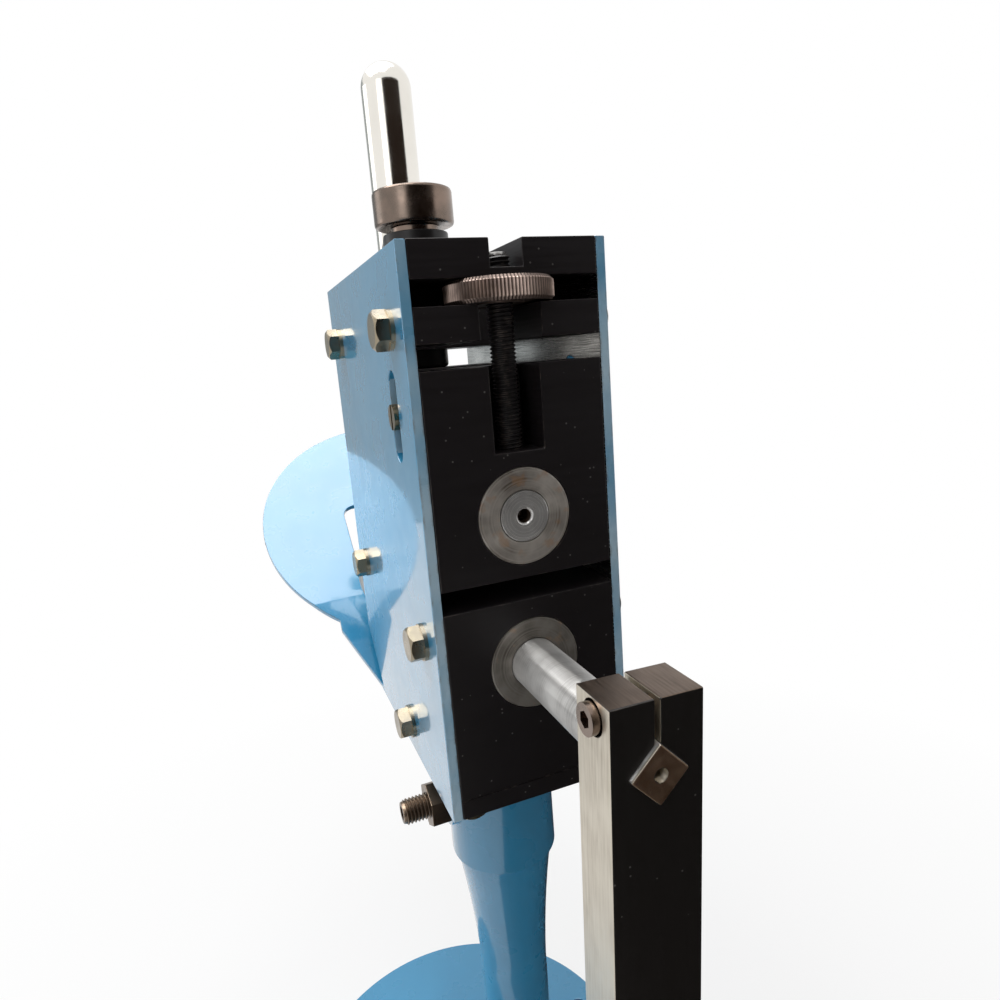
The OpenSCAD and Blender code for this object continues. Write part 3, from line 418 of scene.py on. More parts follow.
class Board:
    """A node tree while it is wired."""

    def __init__(self, tree: NodeTree) -> None:
        """Takes a node tree and empties it."""
        tree.nodes.clear()
        self.tree = tree

    def feed(self, node: Node, values: dict[Any, Any]) -> None:
        """Gives a node's inputs their values.

        Args:
            node: the node.
            values: a constant or an output socket for each input, by name or place.
        """
        for key, value in values.items():
            if isinstance(value, NodeSocket):
                self.tree.links.new(value, node.inputs[key])
            else:
                node.inputs[key].default_value = value

    def add(self, kind: str, values: dict[Any, Any] | None = None, **settings: Any) -> Node:
        """Adds one node.

        Args:
            kind: Blender's name of the node.
            values: what its inputs get.
            settings: the node's own settings.

        Returns:
            The node.
        """
        node = self.tree.nodes.new(kind)
        for key, value in settings.items():
            setattr(node, key, value)
        self.feed(node, values or {})
        return node

    def mix(self, share: Any, first: Any, second: Any) -> NodeSocket:
        """Mixes two colours, with a share of the second."""
        values = {0: share, 6: first, 7: second}
        return self.add("ShaderNodeMix", values, data_type="RGBA").outputs[2]

    def spread(self, value: Any, source: Span, target: tuple[Any, Any]) -> NodeSocket:
        """Maps a value from one range to another, without leaving it."""
        values = {0: value, 1: source[0], 2: source[1], 3: target[0], 4: target[1]}
        return self.add("ShaderNodeMapRange", values).outputs[0]

    def sums(self, operation: str, first: Any, second: Any) -> NodeSocket:
        """Does one sum on two values."""
        return self.add("ShaderNodeMath", {0: first, 1: second}, operation=operation).outputs[0]

    def product(self, first: Any, second: Any) -> NodeSocket:
        """Multiplies two values."""
        return self.sums("MULTIPLY", first, second)

    def vector(self, operation: str, first: Any, second: Any = (0, 0, 0)) -> NodeSocket:
        """Does one sum on vectors that gives a vector."""
        values = {0: first, 1: second}
        return self.add("ShaderNodeVectorMath", values, operation=operation).outputs["Vector"]

    def dot(self, first: Any, second: Any) -> NodeSocket:
        """Gives the dot product of two vectors."""
        values = {0: first, 1: second}
        return self.add("ShaderNodeVectorMath", values, operation="DOT_PRODUCT").outputs["Value"]

    def length(self, vector: NodeSocket) -> NodeSocket:
        """Gives a vector's length."""
        return self.add("ShaderNodeVectorMath", {0: vector}, operation="LENGTH").outputs["Value"]

    def from_axis(self, place: NodeSocket) -> NodeSocket:
        """Gives a place's distance from local Z."""
        return self.length(self.vector("MULTIPLY", place, (1, 1, 0)))

    def noise(self, place: NodeSocket, scale: Any, detail: float) -> NodeSocket:
        """Adds noise of a scale, with that many finer layers."""
        values = {"Vector": place, "Scale": scale, "Detail": detail}
        return self.add("ShaderNodeTexNoise", values).outputs[0]

    def put_out(self, result: NodeSocket) -> NodeTree:
        """Ends a group with the value that it puts out, and gives the group."""
        self.add("NodeGroupOutput", {0: result})
        return self.tree


@dataclass
class SharedEffects:
    """The shader node groups that several finishes use, each built once."""

    cloud_span: Span = (0.32, 0.68)
    cloud_detail: float = 3.0
    brush_detail: float = 4.0
    speck_size: Span = (0.06, 0.2)
    ring_detail: float = 2.0
    rub_turn: Span = (0.99, 0.86)
    rub_tear: Span = (0.5, 0.62)
    rub_detail: float = 5.0
    rub_samples: int = 4

    def __post_init__(self) -> None:
        """Builds every group."""
        self.mottle = self._mottle()
        self.brushing = self._brushing()
        self.dust = self._dust()
        self.rings = self._rings()
        self.rub = self._rub()

    @staticmethod
    def _open(name: str, output: str, **inputs: str) -> tuple[Board, Any]:
        """Starts a group with its sockets, of which the first is always a place.

        Args:
            name: the group's name.
            output: name of the value that the group puts out.
            inputs: kind of each further input socket, by its name.

        Returns:
            The board and the inside of the inputs.
        """
        tree = bpy.data.node_groups.new(name, "ShaderNodeTree")
        for label, kind in {"Vector": "Vector", **inputs}.items():
            tree.interface.new_socket(label, in_out="INPUT", socket_type=f"NodeSocket{kind}")
        tree.interface.new_socket(output, in_out="OUTPUT", socket_type="NodeSocketFloat")
        board = Board(tree)
        return board, board.add("NodeGroupInput").outputs

    def _mottle(self) -> NodeTree:
        """Builds a cloudy tone between two values.

        Returns:
            The group.
        """
        board, entry = self._open("cloudy_tone", "Tone", Scale="Float", Low="Float", High="Float")
        noise = board.noise(entry["Vector"], entry["Scale"], self.cloud_detail)
        tone = board.spread(noise, self.cloud_span, UNIT)
        return board.put_out(board.spread(tone, UNIT, (entry["Low"], entry["High"])))

    def _brushing(self) -> NodeTree:
        """Builds fine lines that run the way that the vector is stretched.

        Returns:
            The group.
        """
        board, entry = self._open("brush_lines", "Lines", Stretch="Vector")
        values = {"Vector": entry["Vector"], "Scale": entry["Stretch"]}
        drawn = board.add("ShaderNodeMapping", values).outputs[0]
        return board.put_out(board.noise(drawn, 1.0, self.brush_detail))

    def _dust(self) -> NodeTree:
        """Builds scattered specks of dust.

        Returns:
            The group.
        """
        board, entry = self._open("dust_specks", "Mask", Scale="Float", Share="Float")
        values = {"Vector": entry["Vector"], "Scale": entry["Scale"]}
        cells = board.add("ShaderNodeTexVoronoi", values).outputs
        draw = board.add("ShaderNodeSeparateColor", {0: cells["Color"]}).outputs
        taken = board.sums("LESS_THAN", draw[0], entry["Share"])
        size = board.spread(draw[1], UNIT, self.speck_size)
        near = board.sums("LESS_THAN", cells["Distance"], size)
        return board.put_out(board.product(taken, near))

    def _rings(self) -> NodeTree:
        """Builds the marks that a lathe leaves round local Z, on faces and on barrels.

        Returns:
            The group.
        """
        board, entry = self._open("turning_marks", "Rings", Lines="Float")
        along = board.dot(entry["Vector"], (0, 0, 1))
        reach = board.sums("ADD", board.from_axis(entry["Vector"]), along)
        fine = board.product(reach, entry["Lines"])
        values = {"W": fine, "Scale": 1.0, "Detail": self.ring_detail}
        noise = board.add("ShaderNodeTexNoise", values, noise_dimensions="1D")
        return board.put_out(noise.outputs[0])

    def _rub(self) -> NodeTree:
        """Builds a broken mask along the edges, where a finish rubs through.

        Returns:
            The group.
        """
        board, entry = self._open("edge_rub", "Mask", Width="Float", Scale="Float")
        soft = board.add("ShaderNodeBevel", {"Radius": entry["Width"]}, samples=self.rub_samples)
        true = board.add("ShaderNodeNewGeometry").outputs["Normal"]
        turn = board.dot(soft.outputs[0], true)
        edge = board.spread(turn, self.rub_turn, UNIT)
        noise = board.noise(entry["Vector"], entry["Scale"], self.rub_detail)
        return board.put_out(board.product(edge, board.spread(noise, self.rub_tear, UNIT)))


class Swatch(Board):
    """A material while its finish is wired, with its shader and the object's coordinates."""

    def __init__(self, material: Material, effects: SharedEffects) -> None:
        """Starts a material.

        Args:
            material: the new material.
            effects: the shared effects.
        """
        material.use_nodes = True
        super().__init__(material.node_tree)
        self.effects = effects
        self.shader = self.add("ShaderNodeBsdfPrincipled")
        self.add("ShaderNodeOutputMaterial", {"Surface": self.shader.outputs[0]})
        self.place = self.add("ShaderNodeTexCoord").outputs["Object"]

    def effect(self, group: NodeTree, **values: Any) -> NodeSocket:
        """Places a shared effect, on the object's coordinates unless others are given."""
        values = {"Vector": self.place, **values}
        return self.add("ShaderNodeGroup", values, node_tree=group).outputs[0]

    def mottle(self, scale: float, tones: Span = UNIT) -> NodeSocket:
        """Places the cloudy tone, between two values."""
        low, high = tones
        return self.effect(self.effects.mottle, Scale=scale, Low=low, High=high)

    def centred(self, centre: Point, axis: Axis) -> NodeSocket:
        """Gives the place as seen from a centre, with an axis as its Z."""
        values = {"Vector": self.place, "Location": centre, "Rotation": axis.value}
        return self.add("ShaderNodeMapping", values, vector_type="TEXTURE").outputs[0]

    def emboss(self, height: NodeSocket, depth: float, strength: float) -> None:
        """Feeds a height to the shader's normal.

        Args:
            height: the height.
            depth: how deep a height of 1 is.
            strength: how much of it shows.
        """
        values = {"Strength": strength, "Distance": depth, "Height": height}
        bump = self.add("ShaderNodeBump", values)
        self.feed(self.shader, {"Normal": bump.outputs[0]})

    def shade(self, colour: NodeSocket, gloss: NodeSocket, **constants: float) -> None:
        """Feeds the shader its colour, roughness and constants, named with _ for a space."""
        named = {key.replace("_", " "): value for key, value in constants.items()}
        self.feed(self.shader, {"Base Color": colour, "Roughness": gloss, **named})


@dataclass(frozen=True)
class Finish:
    """A surface finish and the record's slot that it belongs to."""

    name: str
    slot: Slot
    colour: Colour

    def wire(self, swatch: Swatch) -> None:
        """Wires the finish's nodes on a started material."""
        raise NotImplementedError


@dataclass(frozen=True)
class Coating(Finish):
    """A coat with dust on it and edges that rub through."""

    bare: Colour = rgb(0.16, 0.13, 0.11)
    rub_width: float = 0.5 * MM
    rub_scale: float = 240.0
    rub_cover: float = 0.7
    dust: Colour = rgb(0.2, 0.19, 0.18)
    dust_scale: float = 560.0
    dust_share: float = 0.035
    dust_cover: float = 0.6

    def worn(self, swatch: Swatch, coat: Any) -> NodeSocket:
        """Rubs a coat's edges and dusts it.

        Args:
            swatch: the started material.
            coat: the coat's colour.

        Returns:
            The colour after that.
        """
        effects = swatch.effects
        rub = swatch.effect(effects.rub, Width=self.rub_width, Scale=self.rub_scale)
        specks = swatch.effect(effects.dust, Scale=self.dust_scale, Share=self.dust_share)
        rubbed = swatch.mix(swatch.product(rub, self.rub_cover), coat, self.bare)
        return swatch.mix(swatch.product(specks, self.dust_cover), rubbed, self.dust)


@dataclass(frozen=True)
class Enamel(Coating):
    """Gloss paint with a faint orange peel."""

    shade: Colour = rgb(0.03, 0.265, 0.485)
    tone_scale: float = 28.0
    bare: Colour = rgb(0.16, 0.12, 0.09)
    rub_width: float = 0.7 * MM
    rub_scale: float = 160.0
    rub_cover: float = 1.0
    dust: Colour = rgb(0.5, 0.5, 0.48)
    dust_scale: float = 420.0
    dust_share: float = 0.008
    dust_cover: float = 0.5
    gloss: Span = (0.24, 0.34)
    gloss_scale: float = 60.0
    coat_gloss: float = 0.05
    peel_scale: float = 420.0
    peel_depth: float = 0.1 * MM
    peel_show: float = 0.02

    def wire(self, swatch: Swatch) -> None:
        """Wires the paint.

        Args:
            swatch: the started material.
        """
        paint = swatch.mix(swatch.mottle(self.tone_scale), self.shade, self.colour)
        peel = swatch.noise(swatch.place, self.peel_scale, 1.0)
        swatch.emboss(peel, self.peel_depth, self.peel_show)
        swatch.shade(
            self.worn(swatch, paint), swatch.mottle(self.gloss_scale, self.gloss),
            Coat_Weight=1.0, Coat_Roughness=self.coat_gloss,
        )


@dataclass(frozen=True)
class BlackOxide(Coating):
    """Oiled black steel with brush lines, whose edges rub to brown."""

    stretch: Point = (40.0, 40.0, 1500.0)
    matt: float = 0.42
    matt_drift: float = 0.07
    line_depth: float = 0.02 * MM
    line_show: float = 0.3
    gleam: float = 0.35

    def wire(self, swatch: Swatch) -> None:
        """Wires the black steel.

        Args:
            swatch: the started material.
        """
        lines = swatch.effect(swatch.effects.brushing, Stretch=self.stretch)
        tones = (self.matt - self.matt_drift, self.matt + self.matt_drift)
        swatch.emboss(lines, self.line_depth, self.line_show)
        swatch.shade(
            self.worn(swatch, self.colour), swatch.spread(lines, NOISE, tones),
            Specular_IOR_Level=self.gleam,
        )


@dataclass(frozen=True)
class LatheSteel(Finish):
    """Bare steel with turning marks round an axis, and spots of rust."""

    centre: Point = (0.0, 0.0, 0.0)
    axis: Axis = Axis.Y
    second: Colour = rgb(0.2, 0.19, 0.18)
    stain_scale: float = 90.0
    gloss: Span = (0.3, 0.46)
    lines: float = 1000.0
    line_tone: Span = (0.3, 1.0)
    line_depth: float = 0.07 * MM
    line_show: float = 0.6
    metal: float = 0.8
    sheen: float = 0.7
    rust: float = 0.0
    rust_colour: Colour = rgb(0.5, 0.3, 0.17)
    rust_scale: float = 150.0
    rust_low: float = -1.5

    def wire(self, swatch: Swatch) -> None:
        """Wires the turned steel.

        Args:
            swatch: the started material.
        """
        turned = swatch.centred(self.centre, self.axis)
        marks = swatch.effect(swatch.effects.rings, Vector=turned, Lines=self.lines)
        lined = swatch.spread(marks, NOISE, self.line_tone)
        tone = swatch.product(lined, swatch.mottle(self.stain_scale))
        steel = swatch.mix(tone, self.colour, self.second)
        spots = swatch.mottle(self.rust_scale, (self.rust_low, self.rust))
        swatch.emboss(marks, self.line_depth, self.line_show)
        swatch.shade(
            swatch.mix(spots, steel, self.rust_colour), swatch.spread(marks, NOISE, self.gloss),
            Metallic=self.metal, Anisotropic=self.sheen,
        )
        swatch.feed(swatch.shader, {"Tangent": self.grain(swatch)})

    def grain(self, swatch: Swatch) -> NodeSocket:
        """Finds the direction across the turning marks, which spreads the highlights.

        Args:
            swatch: the started material.

        Returns:
            The direction, outwards on a face and lengthwise on a barrel.
        """
        along = Vector((0, 0, 1))
        along.rotate(self.axis.turn)
        reach = swatch.vector("SUBTRACT", swatch.place, self.centre)
        round_axis = swatch.vector("CROSS_PRODUCT", along, reach)
        outward = swatch.vector("NORMALIZE", swatch.vector("CROSS_PRODUCT", round_axis, along))
        across = swatch.vector("ADD", outward, along)
        return swatch.add(
            "ShaderNodeVectorTransform", {0: across},
            vector_type="VECTOR", convert_from="OBJECT", convert_to="WORLD",
        ).outputs[0]


@dataclass(frozen=True)
class BrushedSteel(Finish):
    """Bare steel with saw or brush lines and a drifting stain."""

    second: Colour = rgb(0.3, 0.26, 0.22)
    stain_scale: float = 55.0
    stretch: Point = (60.0, 60.0, 1800.0)
    gloss: Span = (0.28, 0.45)
    line_span: Span = (0.35, 0.65)
    line_tone: Span = (0.2, 1.0)
    line_depth: float = 0.04 * MM
    line_show: float = 0.4

    def wire(self, swatch: Swatch) -> None:
        """Wires the brushed steel.

        Args:
            swatch: the started material.
        """
        lines = swatch.effect(swatch.effects.brushing, Stretch=self.stretch)
        lined = swatch.spread(lines, self.line_span, self.line_tone)
        tone = swatch.product(lined, swatch.mottle(self.stain_scale))
        swatch.emboss(lines, self.line_depth, self.line_show)
        steel = swatch.mix(tone, self.colour, self.second)
        swatch.shade(steel, swatch.spread(lines, NOISE, self.gloss), Metallic=1.0)


@dataclass(frozen=True)
class Knurl(Finish):
    """Steel whose knurl has painted shade in its valleys and is bright on its crests."""

    centre: Point = (0.0, 0.0, 0.0)
    # Colour at the bottom of the valleys: painted shade.
    valley: Colour = rgb(0.13, 0.095, 0.08)
    reach: Span = UNIT
    stain: Span = (0.1, 1.15)
    stain_scale: float = 110.0
    gloss: Span = (0.28, 0.42)
    gloss_scale: float = 120.0
    metal: float = 0.7

    def wire(self, swatch: Swatch) -> None:
        """Wires the knurled steel.

        Args:
            swatch: the started material.
        """
        out = swatch.from_axis(swatch.centred(self.centre, Axis.Z))
        # Darker towards the valleys, by distance from the axis: painted shade in the knurl.
        crest = swatch.spread(out, self.reach, UNIT)
        tone = swatch.product(crest, swatch.mottle(self.stain_scale, self.stain))
        steel = swatch.mix(tone, self.valley, self.colour)
        swatch.shade(steel, swatch.mottle(self.gloss_scale, self.gloss), Metallic=self.metal)


@dataclass(frozen=True)
class Plating(Finish):
    """Thin plating whose tint and gloss drift over the surface."""

    second: Colour = rgb(0.5, 0.48, 0.45)
    scale: float = 90.0
    gloss: Span = (0.24, 0.36)

    def wire(self, swatch: Swatch) -> None:
        """Wires the plating.

        Args:
            swatch: the started material.
        """
        tint = swatch.mix(swatch.mottle(self.scale), self.colour, self.second)
        gloss = swatch.mottle(2 * self.scale, self.gloss)
        swatch.shade(tint, gloss, Metallic=1.0)


@dataclass
class FinishRack:
    """The machine's finishes, each with one material."""

    effects: SharedEffects = field(default_factory=SharedEffects)
    made: dict[str, Material] = field(default_factory=dict)

    blue = Enamel("blue_enamel", Slot.BLUE_PAINT, rgb(0.035, 0.29, 0.52))
    # Lighter blue for the side plates' rear faces: a painted highlight, with real wear where its
    # wide edges rub through.
    worn_highlit_blue = Enamel(
        "worn_highlit_blue", Slot.BLUE_PAINT, rgb(0.5, 0.68, 0.8), shade=rgb(0.16, 0.4, 0.6),
        rub_width=1.6 * MM,
    )
    black = BlackOxide(
        "black_oxide", Slot.BLACK_STEEL, rgb(0.012, 0.0095, 0.0105), dust_share=0.16
    )
    screw_black = BlackOxide(
        "screw_black", Slot.BLACK_STEEL, rgb(0.02, 0.018, 0.018),
        stretch=(300.0, 300.0, 300.0), dust_share=0.01, matt=0.36,
    )
    arm_black = BlackOxide(
        "arm_black", Slot.BLACK_STEEL, rgb(0.014, 0.012, 0.011),
        stretch=(1500.0, 60.0, 60.0), matt=0.36, line_depth=0.04 * MM,
    )
    collar_steel = Plating(
        "collar_steel", Slot.BLACK_STEEL, rgb(0.25, 0.185, 0.15), second=rgb(0.15, 0.12, 0.1),
        gloss=(0.2, 0.3),
    )
    lock_steel = Plating(
        "lock_steel", Slot.BLACK_STEEL, rgb(0.24, 0.18, 0.13), second=rgb(0.12, 0.09, 0.07),
        gloss=(0.3, 0.4),
    )
    zinc = Plating(
        "yellow_zinc", Slot.ZINC_YELLOW, rgb(0.37, 0.31, 0.21), second=rgb(0.25, 0.22, 0.175)
    )
    dull_zinc = Plating(
        "dull_zinc", Slot.ZINC_YELLOW, rgb(0.3, 0.22, 0.13), second=rgb(0.2, 0.16, 0.11)
    )
    mill_steel = BrushedSteel(
        "mill_steel", Slot.BLUE_PAINT, rgb(0.86, 0.84, 0.81), second=rgb(0.36, 0.36, 0.35),
        gloss=(0.2, 0.32), line_depth=0.01 * MM,
    )
    sawn_steel = BrushedSteel(
        "sawn_steel", Slot.BLACK_STEEL, rgb(0.62, 0.57, 0.48), second=rgb(0.44, 0.39, 0.32),
        stretch=(60.0, 900.0, 60.0),
    )
    bronzed_steel = BrushedSteel(
        "bronzed_steel", Slot.BRIGHT_STEEL, rgb(0.9, 0.67, 0.48), second=rgb(0.6, 0.42, 0.3),
        stretch=(400.0, 400.0, 400.0),
    )
    brown_steel = BrushedSteel(
        "brown_steel", Slot.BLACK_STEEL, rgb(0.15, 0.11, 0.085), second=rgb(0.05, 0.037, 0.03),
        stretch=(1500.0, 80.0, 80.0),
    )
    chrome = Plating(
        "chrome", Slot.CHROME, rgb(0.86, 0.83, 0.77), second=rgb(0.8, 0.77, 0.71),
        scale=40.0, gloss=(0.1, 0.16),
    )
    spring = Plating("spring_wire", Slot.BRIGHT_STEEL, rgb(0.55, 0.54, 0.52), gloss=(0.2, 0.3))

    def material(self, finish: Finish) -> Material:
        """Gives a finish's material, built when it is first asked for.

        Args:
            finish: the finish.

        Returns:
            Its material.
        """
        if finish.name not in self.made:
            self.made[finish.name] = bpy.data.materials.new(finish.name)
            finish.wire(Swatch(self.made[finish.name], self.effects))
        return self.made[finish.name]

    def dress(self, piece: Object, finish: Finish) -> None:
        """Gives a CAD node or new piece its finish and nothing else."""
        piece.data.materials.clear()
        piece.data.materials.append(self.material(finish))

    def dress_faces(self, piece: Object, finish: Finish, chosen: FaceTest) -> None:
        """Gives some faces of a dressed piece another finish.

        Args:
            piece: the new piece.
            finish: the faces' finish.
            chosen: true for the normals and middles of those faces.
        """
        piece.data.materials.append(self.material(finish))
        with Bench.editing(piece):
            Bench.mark(piece, Part.FACE, lambda face: chosen(face.normal, face.center))
            piece.active_material_index = len(piece.data.materials) - 1
            bpy.ops.object.material_slot_assign()


@dataclass
class SubAssembly:
    """One group of pieces that are dressed together."""

    rack: FinishRack
    body: str = ""

    def paint(self, finish: Finish, *nodes: str) -> None:
        """Dresses CAD nodes whose shape is already right.

        Args:
            finish: the nodes' finish.
            nodes: the nodes' names.
        """
        for node in nodes:
            self.rack.dress(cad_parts[node], finish)
            LOG.info("%s: %s", node, finish.name)

    def fit(self, piece: Object, finish: Finish, *nodes: str) -> None:
        """Fits a new piece in the place of CAD nodes.

        Args:
            piece: the new piece.
            finish: its finish.
            nodes: the nodes that it stands for.
        """
        self.rack.dress(piece, finish)
        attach(piece, self.body)
        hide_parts(*nodes)
        LOG.info("%s for %s: %s", piece.name, ", ".join(nodes), finish.name)

    def ease(self, finish: Finish, width: float, *nodes: str) -> list[Object]:
        """Fits copies of CAD nodes with their edges broken.

        Args:
            finish: their finish.
            width: width of the broken edge.
            nodes: the nodes' names.

        Returns:
            The eased copies.
        """
        pieces = [EdgeBreaker(width).ease(node) for node in nodes]
        for piece, node in zip(pieces, nodes):
            self.fit(piece, finish, node)
        return pieces

    def build(self) -> None:
        """Builds and dresses the sub-assembly."""
        raise NotImplementedError


@dataclass
class Stand(SubAssembly):
    """Base disc, trumpet column, and the lock screw that holds the head."""

    body: str = "stand"
    paint_edge: float = 0.8 * MM
    nut_edge: float = 0.3 * MM
    screw_pitch: float = 1.75 * MM
    nose: float = 1.4 * MM
    nose_share: float = 0.8
    nose_sides: int = 48
    key_across: float = 6.0 * MM
    key_depth: float = 6.0 * MM

    def build(self) -> None:
        """Builds and dresses the stand."""
        self.ease(self.rack.blue, self.paint_edge, "base_disc", "column")
        self.paint(self.rack.zinc, "foot_bolts")
        self.ease(self.rack.lock_steel, self.nut_edge, "lock_nut")
        self.fit(self.lock_screw(), self.rack.lock_steel, "lock_screw")

    def lock_screw(self) -> Object:
        """Cuts the lock screw's thread, turns its nose and sinks the key's socket.

        Returns:
            The lock screw.
        """
        length, _, width = extent("lock_screw")
        cutter = ThreadCutter(width / 2, self.screw_pitch)
        rings = [
            (self.nose_share * width / 2, 0.0), (cutter.root, 0.5 * self.nose),
            (cutter.root, 2 * self.nose),
        ]
        nose = Lathe(self.nose_sides).turn("lock_nose", rings)
        key = Bench.start(
            "key", bpy.ops.mesh.primitive_cylinder_add, vertices=6,
            radius=self.key_across / math.sqrt(3), depth=2 * self.key_depth,
        )
        Bench.cut(nose, key)
        place = middle("lock_screw")
        place.x = corners("lock_screw")[0].x
        return cutter.screw("lock_screw_threaded", nose, (self.nose, length), Axis.X, place)


@dataclass
class HeadFrame(SubAssembly):
    """Side plates, fixed blocks, bolts, work table, lower bushes and lift springs."""

    body: str = "head"
    plate_edge: float = 0.6 * MM
    block_edge: float = 0.5 * MM
    bush_edge: float = 1.0 * MM
    facing: float = 0.9
    coil_radius: float = 4.85 * MM
    wire: float = 1.5 * MM
    wire_sides: int = 12
    coils: int = 7
    coil_steps: int = 40
    coil_crease: float = 60.0

    def build(self) -> None:
        """Builds and dresses the head."""
        rack = self.rack
        self.ease(rack.blue, self.plate_edge, "work_table")
        plates = self.ease(rack.blue, self.plate_edge, "left_side_plate", "right_side_plate")
        for plate, inward in zip(plates, (1, -1)):
            rack.dress_faces(
                plate, rack.mill_steel, lambda normal, place: normal.x * inward > self.facing
            )
            # The plates' rear faces get the lighter blue: a painted highlight.
            rack.dress_faces(plate, rack.worn_highlit_blue, lambda normal, place: normal.y < -self.facing)
        self.ease(
            rack.black, self.block_edge,
            "rear_top_block", "front_top_block", "lower_rear_block", "lower_front_block",
            "bottom_plate",
        )
        self.paint(rack.black, "swivel_block")
        self.paint(
            rack.zinc, "left_bolts", "right_bolts", "left_washers", "right_washers",
            "bottom_bolts", "table_bolts",
        )
        bush = LatheSteel(
            "lower_bush_steel", Slot.BUSH_STEEL, rgb(0.34, 0.315, 0.28),
            tuple(middle("lower_rear_bush")), second=rgb(0.06, 0.05, 0.038), metal=0.5,
            line_depth=0.12 * MM, rust=0.4,
        )
        self.ease(bush, self.bush_edge, "lower_rear_bush", "lower_front_bush")
        self.springs()

    def springs(self) -> None:
        """Winds one lift spring and sets a copy of it on each side."""
        low, high = corners("lift_springs")
        rise = high.z - low.z - self.wire
        coil = Bench.start(
            "coil", bpy.ops.mesh.primitive_circle_add, vertices=self.wire_sides,
            radius=self.wire / 2, rotation=(math.pi / 2, 0, 0),
        )
        Bench.settle(coil)
        with Bench.editing(coil):
            bpy.ops.transform.translate(value=(self.coil_radius, 0, 0))
        Bench.apply(
            coil, "SCREW", axis="Z", angle=2 * math.pi, iterations=self.coils,
            screw_offset=rise / self.coils, steps=self.coil_steps, render_steps=self.coil_steps,
        )
        with Bench.editing(coil):
            bpy.ops.mesh.remove_doubles(threshold=WELD)
            bpy.ops.mesh.fill_holes(sides=0)
        Bench.close(coil)
        Bench.smooth(coil, self.coil_crease)
        reach = high.x - self.coil_radius - self.wire / 2
        for name, side in (("left_lift_spring", -1), ("right_lift_spring", 1)):
            spring = Bench.link(name, coil.data.copy())
            centre = Vector((side * reach, (low.y + high.y) / 2, 0))
            Bench.lay(spring, Axis.Z, centre + Vector((0, 0, low.z + self.wire / 2)))
            self.rack.dress(spring, self.rack.spring)
            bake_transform(spring)
            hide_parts("lift_springs")
            LOG.info("%s for lift_springs", name)
        bpy.data.objects.remove(coil)


@dataclass
class Carriage(SubAssembly):
    """Upper bearing blocks that slide in the head, with the threaded adjusting rod."""

    body: str = "carriage"
    block_edge: float = 0.5 * MM
    bush_edge: float = 1.0 * MM
    rod_pitch: float = 1.5 * MM
    rod_tip: float = 1.2 * MM
    tip_taper: float = 0.4
    tip_sides: int = 48

    def build(self) -> None:
        """Builds and dresses the carriage."""
        rack = self.rack
        self.ease(rack.black, self.block_edge, "upper_rear_block", "upper_front_block")
        bush = LatheSteel(
            "upper_bush_steel", Slot.BUSH_STEEL, rgb(0.62, 0.575, 0.52),
            tuple(middle("upper_rear_bush")), second=rgb(0.085, 0.06, 0.042), metal=0.5,
            line_depth=0.12 * MM, rust=0.55,
        )
        self.ease(bush, self.bush_edge, "upper_rear_bush", "upper_front_bush")
        self.paint(rack.dull_zinc, "guide_screws")
        rod = self.adjusting_rod()
        self.fit(rod, rack.screw_black, "adjusting_rod")
        top = corners("adjusting_rod")[1].z - self.rod_tip
        rack.dress_faces(rod, rack.mill_steel, lambda normal, place: place.z > top)

    def adjusting_rod(self) -> Object:
        """Cuts the rod's thread between two turned tips.

        Returns:
            The adjusting rod.
        """
        node = "adjusting_rod"
        width, _, length = extent(node)
        cutter = ThreadCutter(width / 2, self.rod_pitch)
        ends = (self.rod_tip, length - self.rod_tip)
        small = cutter.root - self.tip_taper * self.rod_tip
        rings = [(small, 0.0), *((cutter.root, end) for end in ends), (small, length)]
        core = Lathe(self.tip_sides).turn("rod_tips", rings)
        return cutter.screw("adjusting_rod_threaded", core, ends, Axis.Z, foot(node))


@dataclass
class ThumbWheel(SubAssembly):
    """Knurled wheel that turns on the adjusting rod."""

    body: str = "wheel"
    bevel: float = 1.3 * MM
    teeth: int = 96
    tooth_depth: float = 0.55 * MM
    tooth_crease: float = 15.0
    bore: float = 5.3 * MM
    bore_sides: int = 64
    boss: float = 9.0 * MM
    dish: float = 0.5 * MM

    def build(self) -> None:
        """Builds and dresses the wheel."""
        radius = extent("thumb_wheel").x / 2
        knurl = Knurl(
            "knurled_steel", Slot.KNURLED_STEEL, rgb(0.72, 0.55, 0.47),
            centre=tuple(middle("thumb_wheel")), reach=(radius - self.tooth_depth, radius),
        )
        self.fit(self.wheel(), knurl, "thumb_wheel")

    def wheel(self) -> Object:
        """Turns the wheel, rolls the knurl into its rim and bores it.

        Returns:
            The thumb wheel.
        """
        width, _, height = extent("thumb_wheel")
        radius, dish = width / 2, self.dish
        inner = radius - self.bevel
        rows = (self.bevel, height - self.bevel)
        rings = [(self.boss, 0.0), (self.boss + dish, dish), (inner - dish, dish), (inner, 0.0)]
        rings += [(radius, row) for row in rows]
        rings += [(inner, height), (inner - dish, height - dish)]
        rings += [(self.boss + dish, height - dish), (self.boss, height)]
        wheel = Lathe(2 * self.teeth).turn("thumb_wheel_knurled", rings)
        sink = (radius - self.tooth_depth) / radius
        with Bench.editing(wheel):
            for row in rows:
                Bench.mark(
                    wheel, Part.VERTEX, lambda point: self._valley(point.co, radius, row)
                )
                bpy.ops.transform.resize(value=(sink, sink, 1), center_override=(0, 0, row))
        bore = Bench.start(
            "bore", bpy.ops.mesh.primitive_cylinder_add, vertices=self.bore_sides,
            radius=self.bore, depth=4 * height, location=(0, 0, height / 2),
        )
        Bench.cut(wheel, bore)
        Bench.lay(wheel, Axis.Z, foot("thumb_wheel"))
        Bench.smooth(wheel, self.tooth_crease)
        return wheel

    def _valley(self, place: Vector, radius: float, row: float) -> bool:
        """Says whether a place is one of every second point of a row on the rim."""
        off = abs(place.z - row) + abs(place.xy.length - radius)
        return off < WELD and round(math.atan2(*place.yx) / math.pi * self.teeth) % 2 == 0


